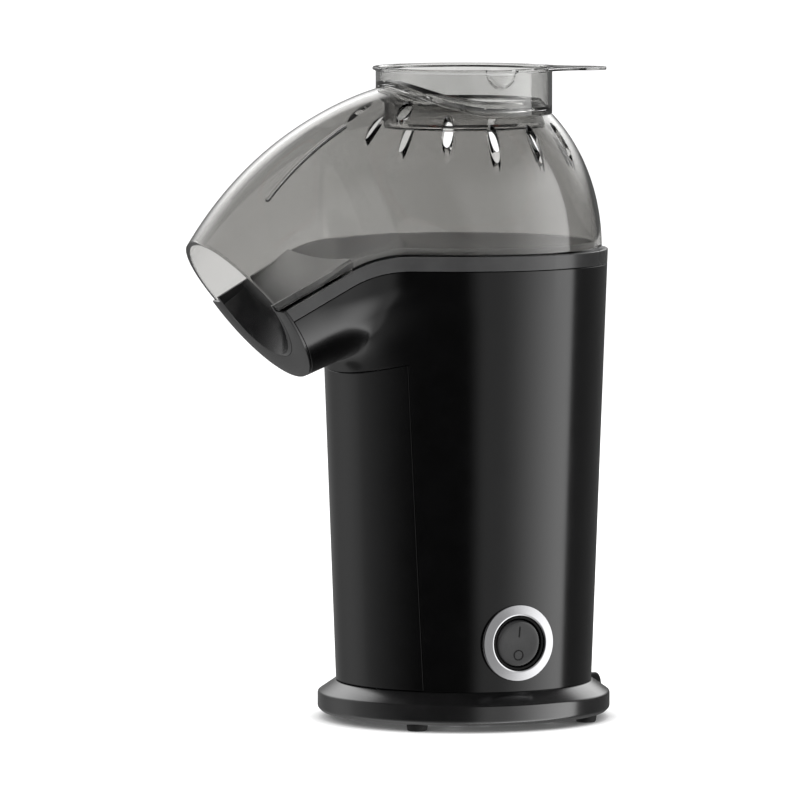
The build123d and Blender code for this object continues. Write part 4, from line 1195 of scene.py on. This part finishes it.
def make_tent():
    """Light tent round the room: a ball, bright by direction, that only reflections see. Light that
    has only passed through clear pieces goes on to the white background."""
    aside = np.linspace(-180, 180, 361)[:, None]
    above = np.linspace(-90, 90, 181)
    parts = cos(aside) * cos(above), sin(aside) * cos(above), sin(above) + 0 * aside
    ball = sum(part[..., None] * axis for part, axis in zip(parts, (VIEW, RIGHT, UP)))
    tent = surface("light_tent", TENT_R * ball)
    way = mesh_points(tent) / TENT_R
    aside = np.degrees(np.arctan2(way @ RIGHT, way @ VIEW))
    mark(tent, "glow", tent_glow(aside, np.degrees(np.arcsin(np.clip(way[:, 2], -1, 1)))))
    material = bpy.data.materials.new("light_tent")
    material.use_nodes = True
    tree = material.node_tree
    tree.nodes.remove(tree.nodes["Principled BSDF"])
    glow = add_node(tree, "Attribute", attribute_name="glow").outputs["Fac"]
    lit = add_node(tree, "Emission", {"Strength": glow}).outputs["Emission"]
    ray = add_node(tree, "LightPath").outputs
    reflected = calculate(tree, "GREATER_THAN", ray["Glossy Depth"], 0.5)
    through = add_node(tree, "BsdfTransparent").outputs["BSDF"]
    choose(tree, reflected, through, lit, "Material Output")
    material.cycles.emission_sampling = "NONE"
    tent.data.materials.append(material)
    tent.visible_camera = tent.visible_diffuse = tent.visible_shadow = False


def make_world():
    """World at a plain level for matt faces, and white to the camera, reflections and clear pieces.
    What is seen straight through clear pieces dims from a low direction to a high one, so that
    their edges read dark. Rays that left a matt face and then passed a clear piece find it
    brighter, for the lamps' light that the piece keeps from that face."""
    world = bpy.data.worlds.new("studio")
    bpy.context.scene.world = world
    world.use_nodes = True
    tree = world.node_tree
    room = tree.nodes["Background"]
    feed(tree, room.inputs["Color"], WHITE)
    feed(tree, room.inputs["Strength"], ROOM_LIGHT)
    ray = add_node(tree, "LightPath").outputs
    clear, bounces = ray["Is Transmission Ray"], ray["Diffuse Depth"]
    heading = add_node(tree, "TexCoord").outputs["Generated"]
    height = add_node(tree, "SeparateXYZ", {"Vector": heading}).outputs["Z"]
    straight = calculate(tree, "GREATER_THAN", clear, bounces)
    dimming = calculate(tree, "MULTIPLY", smooth_rise(tree, height, 0.30, 0.70, 0.9), straight)
    bounced = calculate(tree, "MULTIPLY", calculate(tree, "MINIMUM", bounces, 1.0), clear)
    white = calculate(tree, "SUBTRACT", 1.0, dimming)
    strength = calculate(tree, "MULTIPLY_ADD", bounced, 1.2, white)
    plain = add_node(tree, "Background", {"Color": WHITE, "Strength": strength})
    seen = calculate(tree, "MAXIMUM", ray["Is Camera Ray"], clear)
    seen = calculate(tree, "MAXIMUM", seen, ray["Is Glossy Ray"])
    choose(tree, seen, room.outputs["Background"], plain.outputs["Background"], "World Output")


def lamp(name, place, width, watts):
    """Soft lamp that points at the part, 1.2 m high. Its place is given in metres to the right of
    the part, towards the camera and up."""
    data = bpy.data.lights.new(name, "AREA")
    data.shape = "RECTANGLE"
    data.size, data.size_y, data.energy = width, 1.2, watts
    light = add_object(name, data)
    right, ahead, up = place
    place = RIGHT * right + VIEW * ahead + UP * up
    light.location = place
    turn_to(light, AIM - place)
    light.visible_glossy = light.visible_transmission = False


def make_camera():
    """Camera at its distance from the aim, a few degrees above the level."""
    data = bpy.data.cameras.new("camera")
    data.sensor_width = SENSOR_W
    data.lens = FOCAL_LENGTH
    data.clip_end = 50
    camera = add_object("camera", data)
    away = VIEW * cos(PITCH) + UP * sin(PITCH)
    camera.location = AIM + DISTANCE * away
    turn_to(camera, -away)
    bpy.context.scene.camera = camera


make_floor()
make_tent()
make_world()
lamp("key", (-0.85, 1.2, 0.6), 0.9, 17)
lamp("back", (0.7, -1.5, 0.6), 0.9, 10)
lamp("top", (0, 0.1, 1.6), 1.2, 10)
make_camera()
bpy.context.scene.view_settings.view_transform = "Standard"
